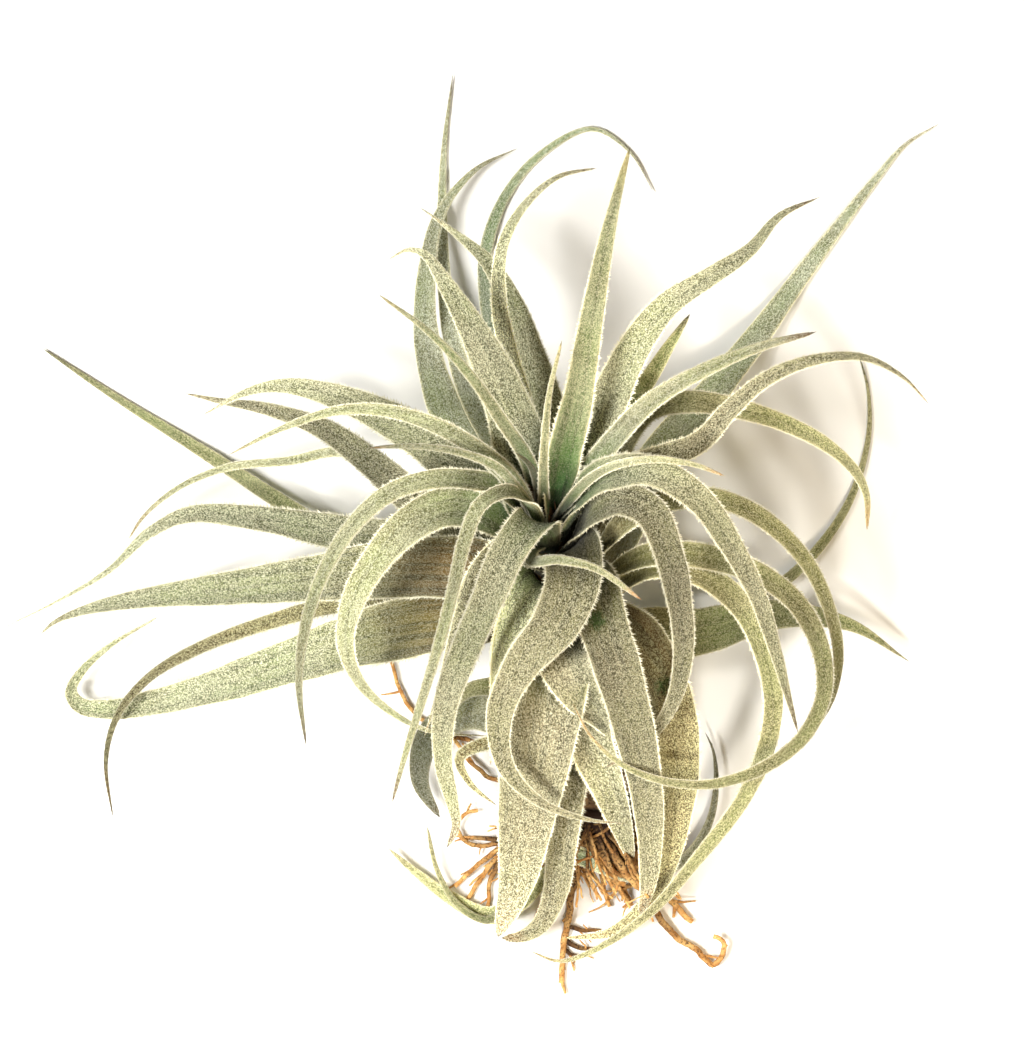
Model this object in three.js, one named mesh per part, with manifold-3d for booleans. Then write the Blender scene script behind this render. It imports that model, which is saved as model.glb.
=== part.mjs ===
// An air plant (Tillandsia) as it is picked: no pot, a short woody stem, a rosette of channelled leaves that
// taper to long curling tips, and a tuft of wiry roots. It lies back on a flat surface, z = 0, with its foot
// towards -Y and its crown tipped up. Lengths are millimetres.
import * as THREE from "three";
import { mergeVertices } from "three/addons/utils/BufferGeometryUtils.js";
import Module from "manifold-3d";

const wasm = await Module();
wasm.setup();

// ---- Driving dimensions ----
const crown = { across: 540, down: 505, height: 58 }; // where the youngest leaves stand
const foot = { across: 603, down: 812, height: 7 }; // where the woody stem ends among its roots
const restSpot = { across: 601, down: 802 }; // middle of the flat spot under the foot, the part's origin
const stemRadius = { foot: 9.5, crown: 2.6 };
const stemSides = 12;
const rootCrownEnd = 7; // along the stem from its foot, where the roots stop and the leafy stem starts
const scar = { pitch: 7, depth: 0.7 }; // rings that fallen leaves left on the stem
const clearance = 0.3; // between neighbouring pieces
const blade = { thickness: 1.1, tipThickness: 0.7, baseBend: 52, tipBend: 30, sheathWidth: 0.45 };
// A leaf's sections: one for each so many mm of its length, and one more for each so many radians of curl.
const bladeRings = { every: 17, turn: 0.6, fewest: 7 };
const rootWire = { sides: 5, stepEvery: 7, fewestSteps: 3, tipShare: 0.55, lowest: 0.35 };
// The dense tuft over the foot: from and to are degrees round the stem.
const rootMat = { count: 18, seed: 7, from: 20, to: 235, length: [15, 22], radius: [0.8, 1.3] };

// ---- Where things are seen ----
// A place is written as [across, down, height]: across and down in a picture of the plant taken straight
// down, 1024 x 1049 with 4 pixels to the millimetre on the surface, and its height above the surface in mm.
const picture = { centreAcross: 512, centreDown: 524.5, pixelsPerMm: 4, eyeHeight: 1200 };

function seen([across, down, height]) {
  const mmPerPixel = (1 - height / picture.eyeHeight) / picture.pixelsPerMm;
  return new THREE.Vector3(
    (across - picture.centreAcross) * mmPerPixel,
    (picture.centreDown - down) * mmPerPixel,
    height,
  );
}

const footPoint = seen([foot.across, foot.down, foot.height]);
const crownPoint = seen([crown.across, crown.down, crown.height]);
const stemLength = footPoint.distanceTo(crownPoint);
const stemAxis = crownPoint.clone().sub(footPoint).normalize();
const onAxis = (along) => footPoint.clone().addScaledVector(stemAxis, along);
const stemRadiusAt = (along) =>
  THREE.MathUtils.lerp(stemRadius.foot, stemRadius.crown, THREE.MathUtils.clamp(along / stemLength, 0, 1));

// ---- Leaves, youngest first ----
// base: how far up the stem it grows, width: at its broadest, path: places along its middle out to the tip.
// taper: above 1 narrows early into a thin tail. facing: 0 keeps its upper side to the stem, 1 turns it up.
// bare: greener, with little of the silver felt.
const crownLeaves = [
  { base: 89, width: 2.4, taper: 0.5, path: [[536, 479, 72], [528, 463, 80], [516, 453, 84]] },
  { base: 88, width: 2.4, taper: 0.5, path: [[544, 450, 83], [550, 390, 93], [562, 340, 98]] },
  { base: 86, width: 2.6, taper: 0.45,
    path: [[590, 478, 79], [622, 463, 91], [655, 459, 94], [692, 464, 92], [725, 476, 87]] },
  { base: 85, width: 2.6, taper: 0.5,
    path: [[518, 490, 74], [495, 466, 78], [450, 450, 82], [405, 446, 82], [368, 448, 80]] },
  { base: 84, width: 3.8, taper: 0.6,
    path: [[528, 462, 70], [500, 418, 82], [470, 375, 88], [430, 333, 91], [378, 294, 92]] },
];
const innerLeaves = [
  { base: 83, width: 9, taper: 0.65,
    path: [[563, 455, 72], [577, 400, 82], [590, 325, 92], [604, 250, 99], [618, 190, 103],
      [630, 147, 105]] },
  { base: 82, width: 5.8, taper: 0.55,
    path: [[585, 480, 65], [614, 440, 75], [655, 399, 86], [705, 370, 90], [760, 347, 91],
      [816, 332, 90]] },
  { base: 81, width: 3.6, taper: 0.5,
    path: [[526, 500, 74], [503, 492, 84], [480, 505, 88], [465, 540, 86], [453, 590, 80], [440, 640, 74],
      [422, 700, 66], [405, 755, 58], [392, 803, 50]] },
  { base: 80, width: 5.2, taper: 0.75,
    path: [[512, 480, 68], [482, 452, 74], [440, 427, 76], [390, 411, 76], [340, 410, 74], [285, 427, 70],
      [228, 455, 66]] },
  { base: 80, width: 3, taper: 0.5,
    path: [[533, 550, 66], [532, 562, 74], [560, 560, 82], [595, 568, 84], [642, 600, 80]] },
  { base: 79, width: 18, taper: 1.1,
    path: [[525, 465, 62], [512, 420, 67], [492, 368, 68], [470, 325, 66], [445, 283, 62], [425, 255, 58],
      [408, 250, 56], [388, 260, 53]] },
  { base: 78, width: 12.6, taper: 0.9,
    path: [[588, 460, 62], [610, 400, 70], [637, 345, 78], [668, 305, 83], [712, 276, 85], [750, 250, 84],
      [780, 216, 81], [820, 197, 78]] },
  { base: 77, width: 8.8, taper: 0.7,
    path: [[588, 487, 70], [620, 472, 82], [655, 472, 88], [697, 498, 87], [732, 547, 76], [757, 595, 68],
      [775, 650, 58], [788, 697, 50], [798, 733, 45]] },
  { base: 76, width: 8.8, taper: 0.55,
    path: [[534, 521, 75], [510, 549, 81], [488, 598, 79], [466, 648, 71], [446, 705, 61], [443, 760, 51],
      [453, 805, 42], [456, 825, 38], [447, 848, 34]] },
  { base: 76, width: 5.4, taper: 0.65,
    path: [[500, 490, 68], [468, 480, 76], [430, 480, 81], [390, 493, 82], [355, 523, 79], [325, 570, 73],
      [307, 620, 66], [299, 680, 57], [306, 745, 47]] },
  { base: 74, width: 9.2, taper: 0.7,
    path: [[580, 529, 62], [596, 507, 72], [622, 499, 78], [650, 512, 80], [668, 552, 77], [679, 600, 70],
      [683, 652, 60], [672, 703, 50], [645, 742, 43], [605, 768, 38]] },
  { base: 73, width: 17, taper: 1.1,
    path: [[505, 492, 54], [470, 472, 58], [420, 437, 60], [370, 410, 57], [320, 392, 53], [280, 386, 49],
      [245, 393, 45], [203, 415, 39]] },
  { base: 72, width: 8.2, taper: 1.05,
    path: [[600, 480, 58], [650, 462, 63], [700, 442, 66], [730, 410, 70], [765, 380, 73], [810, 361, 73],
      [860, 357, 69], [900, 375, 62], [929, 404, 54]] },
  { base: 71, width: 17.2, taper: 1.28,
    path: [[569, 548, 66], [573, 578, 73], [556, 622, 72], [523, 662, 65], [500, 712, 57], [505, 765, 51],
      [540, 802, 46], [585, 819, 43], [628, 824, 41]] },
  { base: 70, width: 14, taper: 1.35,
    path: [[495, 518, 62], [450, 507, 69], [410, 525, 73], [375, 562, 73], [352, 605, 69], [346, 645, 62],
      [360, 682, 55], [390, 711, 49], [430, 731, 44], [488, 736, 40]] },
  { base: 69, width: 8.4, taper: 0.6, bare: true,
    path: [[605, 455, 52], [628, 405, 58], [648, 380, 62], [668, 348, 66], [690, 314, 70]] },
  { base: 68, width: 9.6, taper: 1.2,
    path: [[517, 550, 60], [495, 557, 67], [475, 582, 69], [458, 630, 62], [440, 688, 53],
      [424, 738, 45]] },
  { base: 67, width: 6, taper: 0.7,
    path: [[533, 460, 53], [523, 405, 55], [508, 350, 53], [499, 300, 49], [503, 245, 44], [525, 205, 39],
      [558, 177, 35], [597, 168, 31]] },
  { base: 66, width: 5.6, taper: 0.6,
    path: [[605, 545, 58], [628, 520, 63], [665, 502, 64], [712, 498, 61], [760, 517, 55], [805, 560, 48],
      [831, 615, 41], [838, 660, 35], [828, 705, 30], [805, 735, 27], [778, 750, 25]] },
  { base: 65, width: 12.2, taper: 0.5,
    path: [[588, 580, 62], [602, 622, 66], [619, 675, 61], [635, 735, 50], [646, 790, 38], [650, 840, 28],
      [647, 890, 19], [640, 915, 14]] },
  { base: 64, width: 10, taper: 0.8,
    path: [[535, 580, 55], [521, 602, 60], [507, 642, 56], [500, 690, 47], [497, 730, 41],
      [490, 765, 35]] },
];
const outerLeaves = [
  { base: 62, width: 7, taper: 0.6,
    path: [[610, 470, 46], [645, 412, 49], [690, 402, 50], [760, 415, 46], [818, 440, 40], [852, 468, 33],
      [866, 495, 26], [867, 530, 18]] },
  { base: 61, width: 12.5, taper: 0.95,
    path: [[470, 530, 46], [415, 500, 45], [370, 462, 41], [325, 430, 37], [270, 410, 32], [220, 401, 28],
      [183, 393, 24]] },
  { base: 60, width: 23, taper: 1.25,
    path: [[550, 480, 45], [542, 425, 44], [530, 370, 41], [515, 315, 37], [490, 265, 33], [455, 233, 30],
      [418, 206, 27]] },
  { base: 59, width: 19, taper: 0.95, facing: 0.6,
    path: [[500, 578, 50], [440, 570, 50], [380, 572, 46], [310, 580, 41], [230, 589, 33], [150, 598, 25],
      [90, 609, 18], [55, 622, 13], [40, 635, 10]] },
  { base: 58, width: 6.6, taper: 0.8,
    path: [[615, 572, 52], [655, 555, 57], [705, 557, 58], [760, 575, 53], [800, 608, 47], [822, 655, 43],
      [822, 700, 40], [800, 740, 38], [760, 769, 39], [710, 784, 41], [660, 780, 44], [620, 763, 47],
      [590, 735, 50], [573, 703, 52]] },
  { base: 57, width: 16.5, taper: 0.8,
    path: [[563, 638, 50], [565, 664, 55], [579, 692, 51], [600, 719, 43], [615, 742, 36]] },
  { base: 56, width: 7.4, taper: 0.85,
    path: [[530, 500, 38], [500, 450, 34], [472, 400, 27], [455, 350, 19], [445, 290, 10], [442, 220, 3],
      [444, 150, 1], [453, 73, 1]] },
  { base: 55, width: 6.6, taper: 0.7,
    path: [[618, 590, 47], [655, 568, 52], [700, 575, 52], [740, 605, 48], [763, 650, 43], [773, 700, 37],
      [765, 750, 32], [742, 800, 27], [700, 855, 23], [650, 912, 20], [600, 947, 16], [560, 961, 13],
      [530, 951, 11]] },
  { base: 54, width: 17, taper: 1.5, facing: 0.6,
    path: [[480, 572, 42], [430, 555, 41], [380, 542, 38], [320, 530, 35], [250, 518, 32], [190, 515, 29],
      [150, 533, 25], [110, 570, 20], [60, 600, 14], [5, 627, 9]] },
  { base: 53, width: 21, taper: 0.6,
    path: [[558, 638, 45], [549, 668, 49], [543, 705, 47], [535, 760, 41], [526, 820, 32], [517, 880, 22],
      [498, 937, 11]] },
  { base: 52, width: 14.6, taper: 0.8,
    path: [[598, 619, 40], [627, 632, 45], [651, 664, 45], [671, 710, 38], [679, 760, 33], [675, 815, 26],
      [664, 865, 18], [648, 902, 11], [610, 932, 8], [563, 938, 7]] },
  { base: 51, width: 13.4, taper: 1,
    path: [[500, 500, 32], [470, 455, 29], [440, 395, 24], [426, 335, 19], [427, 270, 14], [440, 214, 9],
      [475, 170, 5], [518, 148, 3]] },
  { base: 50, width: 19, taper: 1.05, facing: 0.6,
    path: [[500, 625, 40], [430, 627, 39], [360, 641, 34], [290, 663, 27], [220, 686, 19], [160, 702, 12],
      [110, 710, 8], [80, 706, 7], [70, 692, 8], [80, 672, 10], [110, 645, 12], [158, 617, 14]] },
  { base: 49, width: 13, taper: 1, bare: true,
    path: [[620, 530, 32], [665, 450, 22], [715, 390, 11], [760, 333, 4], [800, 278, 1], [840, 225, 1],
      [875, 180, 1], [905, 145, 1], [940, 123, 2]] },
  { base: 48, width: 12.5, taper: 0.6,
    path: [[575, 686, 39], [584, 718, 41], [594, 752, 36], [607, 785, 30], [621, 825, 23],
      [632, 862, 15]] },
  { base: 47, width: 6, taper: 0.8,
    path: [[490, 590, 32], [400, 600, 30], [340, 604, 27], [270, 622, 24], [200, 648, 21], [150, 677, 18],
      [118, 715, 15], [106, 760, 11], [113, 818, 7]] },
  { base: 46, width: 17, taper: 1.1, bare: true,
    path: [[640, 640, 30], [700, 632, 24], [775, 615, 17], [850, 625, 11], [910, 662, 7]] },
  { base: 45, width: 7.2, taper: 0.95, bare: true,
    path: [[545, 520, 28], [518, 440, 19], [499, 360, 10], [487, 300, 5], [486, 250, 2], [505, 197, 1],
      [540, 155, 1], [592, 129, 1], [630, 152, 1], [655, 195, 1]] },
  { base: 44, width: 3.4, taper: 0.5,
    path: [[500, 560, 26], [430, 500, 24], [375, 458, 23], [335, 452, 22], [290, 461, 21], [230, 467, 20],
      [180, 487, 18], [145, 515, 16], [128, 540, 15]] },
];
const oldLeaves = [
  { base: 42, width: 7.5, taper: 0.8, bare: true,
    path: [[535, 670, 34], [500, 685, 32], [470, 690, 29], [453, 708, 25], [455, 730, 21]] },
  { base: 40, width: 6.2, taper: 0.65, bare: true,
    path: [[500, 620, 22], [400, 580, 15], [330, 535, 9], [285, 505, 6], [200, 450, 2], [120, 400, 1],
      [42, 348, 1]] },
  { base: 38, width: 9.5, taper: 0.48,
    path: [[568, 780, 30], [562, 840, 23], [556, 890, 15], [540, 925, 10], [520, 937, 8],
      [501, 938, 8]] },
  { base: 36, width: 4, taper: 0.7, bare: true,
    path: [[640, 660, 20], [720, 614, 10], [790, 577, 5], [845, 510, 2], [868, 440, 1], [868, 390, 1],
      [858, 352, 2]] },
  { base: 34, width: 11, taper: 0.6, bare: true, facing: 1,
    path: [[525, 718, 25], [470, 712, 17], [430, 735, 13], [420, 780, 9], [440, 818, 6]] },
  { base: 32, width: 5.5, taper: 0.8,
    path: [[540, 745, 20], [495, 742, 17], [460, 757, 14], [470, 783, 11], [497, 806, 9]] },
  { base: 30, width: 6, taper: 0.8, bare: true,
    path: [[555, 835, 14], [600, 864, 12], [645, 876, 9], [685, 858, 4], [708, 825, 4], [716, 785, 4],
      [713, 750, 4], [705, 732, 5]] },
  { base: 26, width: 2.6, taper: 0.4, bare: true,
    path: [[555, 800, 13], [520, 880, 7], [490, 920, 5], [458, 905, 5], [437, 870, 5], [427, 826, 6]] },
  { base: 24, width: 8, taper: 0.65, bare: true,
    path: [[560, 806, 9], [545, 862, 5], [520, 900, 4], [490, 916, 3], [450, 898, 3], [415, 872, 3],
      [388, 848, 4]] },
];

// ---- Roots ----
// radius: at the start, path: from inside the root crown out to the tip.
const roots = [
  { radius: 1.2,
    path: [[590, 840, 8], [573, 885, 5], [569, 915, 2.5], [564, 945, 1.4], [562, 984, 1.3]] },
  { radius: 0.7, path: [[567, 925, 2], [580, 930, 1.5], [600, 930, 1]] },
  { radius: 0.7, path: [[565, 940, 1.4], [580, 948, 1.2], [599, 948, 0.8]] },
  { radius: 0.6, path: [[564, 950, 1.4], [572, 955, 1], [586, 956, 0.8]] },
  { radius: 1.1,
    path: [[615, 835, 8], [640, 885, 5], [660, 918, 3], [675, 935, 2], [700, 953, 2], [713, 966, 2],
      [724, 950, 3], [722, 939, 4], [714, 936, 4]] },
  { radius: 1.2, path: [[625, 830, 8], [650, 880, 4.5], [670, 901, 2.5], [693, 922, 1.4]] },
  { radius: 1.0, path: [[605, 840, 10], [615, 880, 6], [632, 905, 2]] },
  { radius: 0.9, path: [[600, 845, 8], [603, 885, 4], [610, 906, 1.5]] },
  { radius: 0.9, path: [[612, 840, 8], [622, 882, 4], [630, 900, 1.5]] },
  { radius: 0.9, path: [[580, 830, 8], [552, 880, 3], [536, 918, 1.2]] },
  { radius: 0.9, path: [[575, 815, 6], [535, 822, 4], [497, 850, 3], [470, 872, 2], [455, 886, 1.2]] },
  { radius: 0.9, path: [[575, 820, 5], [535, 835, 3], [500, 855, 2], [463, 906, 1]] },
  { radius: 0.8, path: [[505, 843, 3], [485, 838, 2.5], [467, 838, 2]] },
  { radius: 0.8, path: [[510, 848, 2.5], [492, 875, 1.5], [488, 908, 1]] },
  { radius: 0.8,
    path: [[572, 808, 6], [520, 835, 3], [488, 846, 2], [466, 842, 2.5], [457, 828, 3], [463, 814, 3.5],
      [477, 811, 3]] },
  { radius: 0.8, path: [[572, 800, 7], [520, 785, 4], [488, 777, 3], [466, 756, 3], [453, 738, 3]] },
  { radius: 0.8,
    path: [[572, 795, 6], [500, 752, 3], [440, 730, 2], [410, 708, 2], [397, 680, 2], [390, 658, 2]] },
];

// ---- Solids ----
const acrossBlade = [-1, -0.4, 0.4, 1]; // points from edge to edge of a leaf's channelled section

function solidFrom(positions, faces) {
  const mesh = new wasm.Mesh({
    numProp: 3,
    vertProperties: new Float32Array(positions),
    triVerts: new Uint32Array(faces),
  });
  return new wasm.Manifold(mesh);
}

function solidOfGeometry(geometry) {
  geometry.deleteAttribute("normal");
  geometry.deleteAttribute("uv");
  const merged = mergeVertices(geometry, 2e-3);
  return solidFrom(merged.attributes.position.array, merged.index.array);
}

function geometryOf(solid) {
  const mesh = solid.getMesh();
  const geometry = new THREE.BufferGeometry();
  geometry.setAttribute("position", new THREE.BufferAttribute(mesh.vertProperties, 3));
  geometry.setIndex(new THREE.BufferAttribute(mesh.triVerts, 1));
  geometry.computeVertexNormals();
  return geometry;
}

// A solid through rings of as many points each, closed flat at its start and drawn to a point at its tip.
// The second half of each ring is split the other way round, so a blade's two faces have the same creases.
function loftSolid(rings, tip) {
  const size = rings[0].length;
  const positions = [...rings.flat(), tip].flatMap((p) => p.toArray());
  const tipIndex = rings.length * size;
  const faces = [];
  for (let i = 0; i < rings.length; i++) {
    for (let j = 0; j < size; j++) {
      const a = i * size + j;
      const b = i * size + ((j + 1) % size);
      if (i === rings.length - 1) faces.push(a, b, tipIndex);
      else if (j < size / 2) faces.push(a, b, a + size, b, b + size, a + size);
      else faces.push(a, b, b + size, a, b + size, a + size);
    }
  }
  const across = (j) => (size - j) % size;
  for (let j = 0; j < across(j + 1); j++) {
    if (j > 0) faces.push(j, across(j), across(j + 1));
    if (j + 1 < across(j + 1)) faces.push(j, across(j + 1), j + 1);
  }
  return solidFrom(positions, faces);
}

const largestBody = (solid) => solid.decompose().sort((a, b) => b.volume() - a.volume())[0];

// The middle line of a leaf: out of the stem's axis, then along its path.
function midline(leaf) {
  const places = [onAxis(leaf.base), ...leaf.path.map(seen)];
  return new THREE.CatmullRomCurve3(places, false, "centripetal");
}

// Width as a share of the broadest: narrower where it clasps the stem, then tapering all the way to the tip.
function widthShare(t, taper) {
  const sheath = THREE.MathUtils.lerp(blade.sheathWidth, 1, THREE.MathUtils.smoothstep(t, 0, 0.2));
  return sheath * Math.pow(1 - t, taper) * 1.12;
}

// Half the angle that the channel turns through from edge to edge: deep at the base, shallower beyond it.
function bladeBend(t) {
  const degrees = THREE.MathUtils.lerp(blade.baseBend, blade.tipBend, Math.min(1, t * 2.5));
  return THREE.MathUtils.degToRad(degrees);
}

// The way a leaf's upper side faces at each place along its line, from 0 to 1: square to the stem where it
// leaves it, and skyward further out.
function upperSides({ facing = 0.8 }, line) {
  const aroundStem = stemAxis.clone().cross(line.points[1].clone().sub(line.points[0])).normalize();
  if (line.getTangentAt(0.3).cross(aroundStem).z < 0) aroundStem.negate();
  return (t) => {
    const along = line.getTangentAt(t);
    const skyward = facing * THREE.MathUtils.smoothstep(t, 0, 0.3);
    const upper = along.clone().cross(aroundStem).normalize().multiplyScalar(1 - skyward);
    upper.z += skyward;
    return upper.addScaledVector(along, -upper.dot(along)).normalize();
  };
}

// Places along the line for the rings of a blade, 0 to 1: closer together where it curls or twists.
function ringPlaces(line, upperAt) {
  const samples = 120;
  const turned = (way, i) => way((i - 1) / samples).angleTo(way(i / samples));
  const tangentAt = (t) => line.getTangentAt(t);
  const cost = [0];
  for (let i = 1; i <= samples; i++) {
    const turn = Math.max(turned(tangentAt, i), turned(upperAt, i));
    cost.push(cost[i - 1] + line.getLength() / samples / bladeRings.every + turn / bladeRings.turn);
  }
  const count = Math.max(bladeRings.fewest, Math.round(cost[samples]));
  const places = [];
  for (let i = 0, k = 0; i < count; i++) {
    const wanted = (cost[samples] * i) / count;
    while (cost[k + 1] < wanted) k++;
    places.push((k + (wanted - cost[k]) / (cost[k + 1] - cost[k])) / samples);
  }
  return places;
}

function leafSolid(leaf, grow = 0) {
  const line = midline(leaf);
  const upperAt = upperSides(leaf, line);
  const rings = [];
  for (const t of ringPlaces(line, upperAt)) {
    const middle = line.getPointAt(t);
    const upper = upperAt(t);
    const side = line.getTangentAt(t).cross(upper);
    const half = (leaf.width / 2) * widthShare(t, leaf.taper);
    const thick = THREE.MathUtils.lerp(blade.thickness, blade.tipThickness, t) / 2 + grow;
    const bend = bladeBend(t);
    const arc = (share) => new THREE.Vector2(
      (half * Math.sin(share * bend)) / Math.sin(bend),
      (half * (0.6 + 0.4 * Math.cos(bend) - Math.cos(share * bend))) / Math.sin(bend),
    );
    const ring = [];
    const place = (share, face) => {
      const at = arc(share);
      const edge = Math.abs(share) === 1;
      if (edge) at.add(at.clone().sub(arc(share * acrossBlade[2])).setLength(2.5 * grow));
      const body = edge ? 0 : face * thick;
      ring.push(middle.clone().addScaledVector(side, at.x).addScaledVector(upper, at.y + body));
    };
    acrossBlade.forEach((share) => place(share, 1));
    acrossBlade.slice(1, -1).reverse().forEach((share) => place(share, -1));
    const lift = Math.max(0, -Math.min(...ring.map((p) => p.z)));
    rings.push(ring.map((p) => p.setZ(p.z + lift)));
  }
  const tip = line.getPointAt(1).addScaledVector(line.getTangentAt(1), 2 * grow);
  return loftSolid(rings, tip.setZ(Math.max(tip.z, 0.3)));
}

function rootSolid({ radius, path }) {
  const line = new THREE.CatmullRomCurve3(path, false, "centripetal");
  const steps = Math.max(rootWire.fewestSteps, Math.round(line.getLength() / rootWire.stepEvery));
  const { normals, binormals } = line.computeFrenetFrames(steps, false);
  const rings = [];
  for (let i = 0; i < steps; i++) {
    const thick = radius * THREE.MathUtils.lerp(1, rootWire.tipShare, i / steps);
    const middle = line.getPointAt(i / steps);
    middle.z = Math.max(middle.z, thick + rootWire.lowest);
    const ring = [];
    for (let j = 0; j < rootWire.sides; j++) {
      const angle = (2 * Math.PI * j) / rootWire.sides;
      const p = middle.clone().addScaledVector(normals[i], thick * Math.cos(angle));
      ring.push(p.addScaledVector(binormals[i], thick * Math.sin(angle)));
    }
    rings.push(ring);
  }
  const tip = line.getPointAt(1);
  return loftSolid(rings, tip.setZ(Math.max(tip.z, rootWire.lowest * 2)));
}

// A body of revolution about the stem's axis. The profile is [radius, along] pairs from end to end.
function turnedSolid(profile, segments) {
  const points = profile.map(([radius, along]) => new THREE.Vector2(radius, along));
  const geometry = new THREE.LatheGeometry(points, segments);
  const aim = new THREE.Quaternion().setFromUnitVectors(new THREE.Vector3(0, 1, 0), stemAxis);
  geometry.applyQuaternion(aim);
  geometry.translate(footPoint.x, footPoint.y, footPoint.z);
  return solidOfGeometry(geometry);
}

function stemProfile(grow) {
  const start = rootCrownEnd - grow;
  const profile = [[0, start], [stemRadiusAt(start) + grow, start]];
  for (let along = rootCrownEnd + scar.pitch; along < stemLength - scar.pitch; along += scar.pitch) {
    profile.push([stemRadiusAt(along) + grow, along]);
    profile.push([stemRadiusAt(along) - scar.depth + grow, along + 1]);
  }
  profile.push([stemRadius.crown + grow, stemLength - 2], [0, stemLength + grow]);
  return profile;
}

// Draws between 0 and 1, the same on each run.
function drawsFrom(seed) {
  let state = seed;
  return () => {
    state = (state * 16807) % 2147483647;
    return state / 2147483647;
  };
}

// Roots of the dense tuft lie over the root crown, side by side, running down and away from the leaves.
function matRoots() {
  const draw = drawsFrom(rootMat.seed);
  const between = ([low, high]) => low + (high - low) * draw();
  const made = [];
  for (let i = 0; i < rootMat.count; i++) {
    const degrees = THREE.MathUtils.lerp(rootMat.from, rootMat.to, i / (rootMat.count - 1));
    const angle = THREE.MathUtils.degToRad(degrees);
    const outwards = new THREE.Vector3(Math.cos(angle), 0, Math.sin(angle));
    outwards.addScaledVector(stemAxis, -outwards.dot(stemAxis)).normalize();
    const start = onAxis(between([-1, 5])).addScaledVector(outwards, stemRadius.foot - 1.5);
    const sway = new THREE.Vector3(0.55, -0.8, -0.25 * draw()).multiplyScalar(between(rootMat.length));
    const middle = start.clone().addScaledVector(sway, 0.45).addScaledVector(outwards, 3);
    const stray = new THREE.Vector3(4 * draw() - 2, 4 * draw() - 2, -6 * draw());
    const path = [start, middle, start.clone().add(sway).add(stray)];
    path.forEach((p) => p.setZ(Math.max(p.z, 1.5)));
    made.push({ radius: between(rootMat.radius), path });
  }
  return made;
}

function rootsSolid() {
  const end = rootCrownEnd - 2 * clearance;
  const wide = stemRadius.foot;
  const dome = [[0, -6], [wide * 0.6, -5], [wide * 0.95, -2], [wide, 2]];
  const crownOfRoots = turnedSolid([...dome, [stemRadiusAt(end), end], [0, end]], stemSides);
  const wires = [...roots.map(({ radius, path }) => ({ radius, path: path.map(seen) })), ...matRoots()];
  const bunch = wires.reduce((whole, wire) => whole.add(rootSolid(wire)), crownOfRoots);
  const below = new THREE.BoxGeometry(400, 400, 50).translate(0, 0, -25);
  return bunch.subtract(solidOfGeometry(below));
}

// ---- The plant ----
const plant = new THREE.Group();
plant.position.copy(seen([restSpot.across, restSpot.down, 0])).negate();
const felt = new THREE.MeshStandardMaterial({ color: 0xaeb09a, roughness: 0.9, metalness: 0 });
const bareGreen = new THREE.MeshStandardMaterial({ color: 0x7f8f62, roughness: 0.75, metalness: 0 });
const bark = new THREE.MeshStandardMaterial({ color: 0x6b5138, roughness: 0.9, metalness: 0 });
const rootBrown = new THREE.MeshStandardMaterial({ color: 0xa3692f, roughness: 0.85, metalness: 0 });

function add(name, solid, material) {
  const mesh = new THREE.Mesh(geometryOf(solid), material);
  mesh.name = name;
  plant.add(mesh);
}

// Each piece keeps clear of those already there: the stem first, then the leaves from the youngest out.
const taken = [turnedSolid(stemProfile(clearance), stemSides)];

function clearOfOthers(solid) {
  const clear = taken.reduce((left, other) => left.subtract(other), solid);
  return largestBody(solidOfGeometry(geometryOf(largestBody(clear))));
}

add("stem", turnedSolid(stemProfile(0), stemSides), bark);
const kinds = {
  crown_leaf: crownLeaves,
  inner_leaf: innerLeaves,
  outer_leaf: outerLeaves,
  old_leaf: oldLeaves,
};
for (const [kind, leaves] of Object.entries(kinds)) {
  leaves.forEach((leaf, i) => {
    const name = `${kind}_${String(i + 1).padStart(2, "0")}`;
    add(name, clearOfOthers(leafSolid(leaf)), leaf.bare ? bareGreen : felt);
    taken.push(leafSolid(leaf, clearance));
  });
}
add("roots", clearOfOthers(rootsSolid()), rootBrown);

export default plant;
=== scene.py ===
import bpy
import math
import random
import numpy as np
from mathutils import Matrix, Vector, noise


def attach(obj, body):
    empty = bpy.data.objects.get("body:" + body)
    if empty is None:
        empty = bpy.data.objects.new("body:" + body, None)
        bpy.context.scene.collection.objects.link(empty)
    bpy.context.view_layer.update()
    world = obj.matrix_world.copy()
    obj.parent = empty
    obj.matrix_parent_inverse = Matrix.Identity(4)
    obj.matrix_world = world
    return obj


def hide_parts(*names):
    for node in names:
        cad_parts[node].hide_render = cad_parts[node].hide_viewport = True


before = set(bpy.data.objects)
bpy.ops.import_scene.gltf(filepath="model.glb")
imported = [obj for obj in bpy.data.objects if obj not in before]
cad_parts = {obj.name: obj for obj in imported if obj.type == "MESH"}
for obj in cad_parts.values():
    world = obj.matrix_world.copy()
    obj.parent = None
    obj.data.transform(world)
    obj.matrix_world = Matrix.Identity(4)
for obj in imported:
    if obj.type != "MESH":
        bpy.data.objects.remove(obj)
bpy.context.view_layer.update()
mm = 0.001
print("frame loaded:", len(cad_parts), "nodes")

# How the plant lies, as in the CAD: a place is (across, down, height), across and down in a picture taken
# straight down at 4 pixels to the millimetre, height in mm above the surface.
plant = dict(crown=(540, 505, 58), foot=(603, 812, 7), restSpot=(601, 802, 0),
             pictureCentre=(512, 524.5), pixelsPerMm=4, eyeHeight=1200)


def seen(place):
    across, down, height = place
    mmPerPixel = (1 - height / plant["eyeHeight"]) / plant["pixelsPerMm"]
    x = (across - plant["pictureCentre"][0]) * mmPerPixel
    y = (plant["pictureCentre"][1] - down) * mmPerPixel
    return np.array([x, y, float(height)])


origin = seen(plant["restSpot"])


def placeOf(place):
    return (seen(place) - origin) * mm


foot = placeOf(plant["foot"])
crown = placeOf(plant["crown"])
stemLength = np.linalg.norm(crown - foot)
stemAxis = (crown - foot) / stemLength


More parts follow.
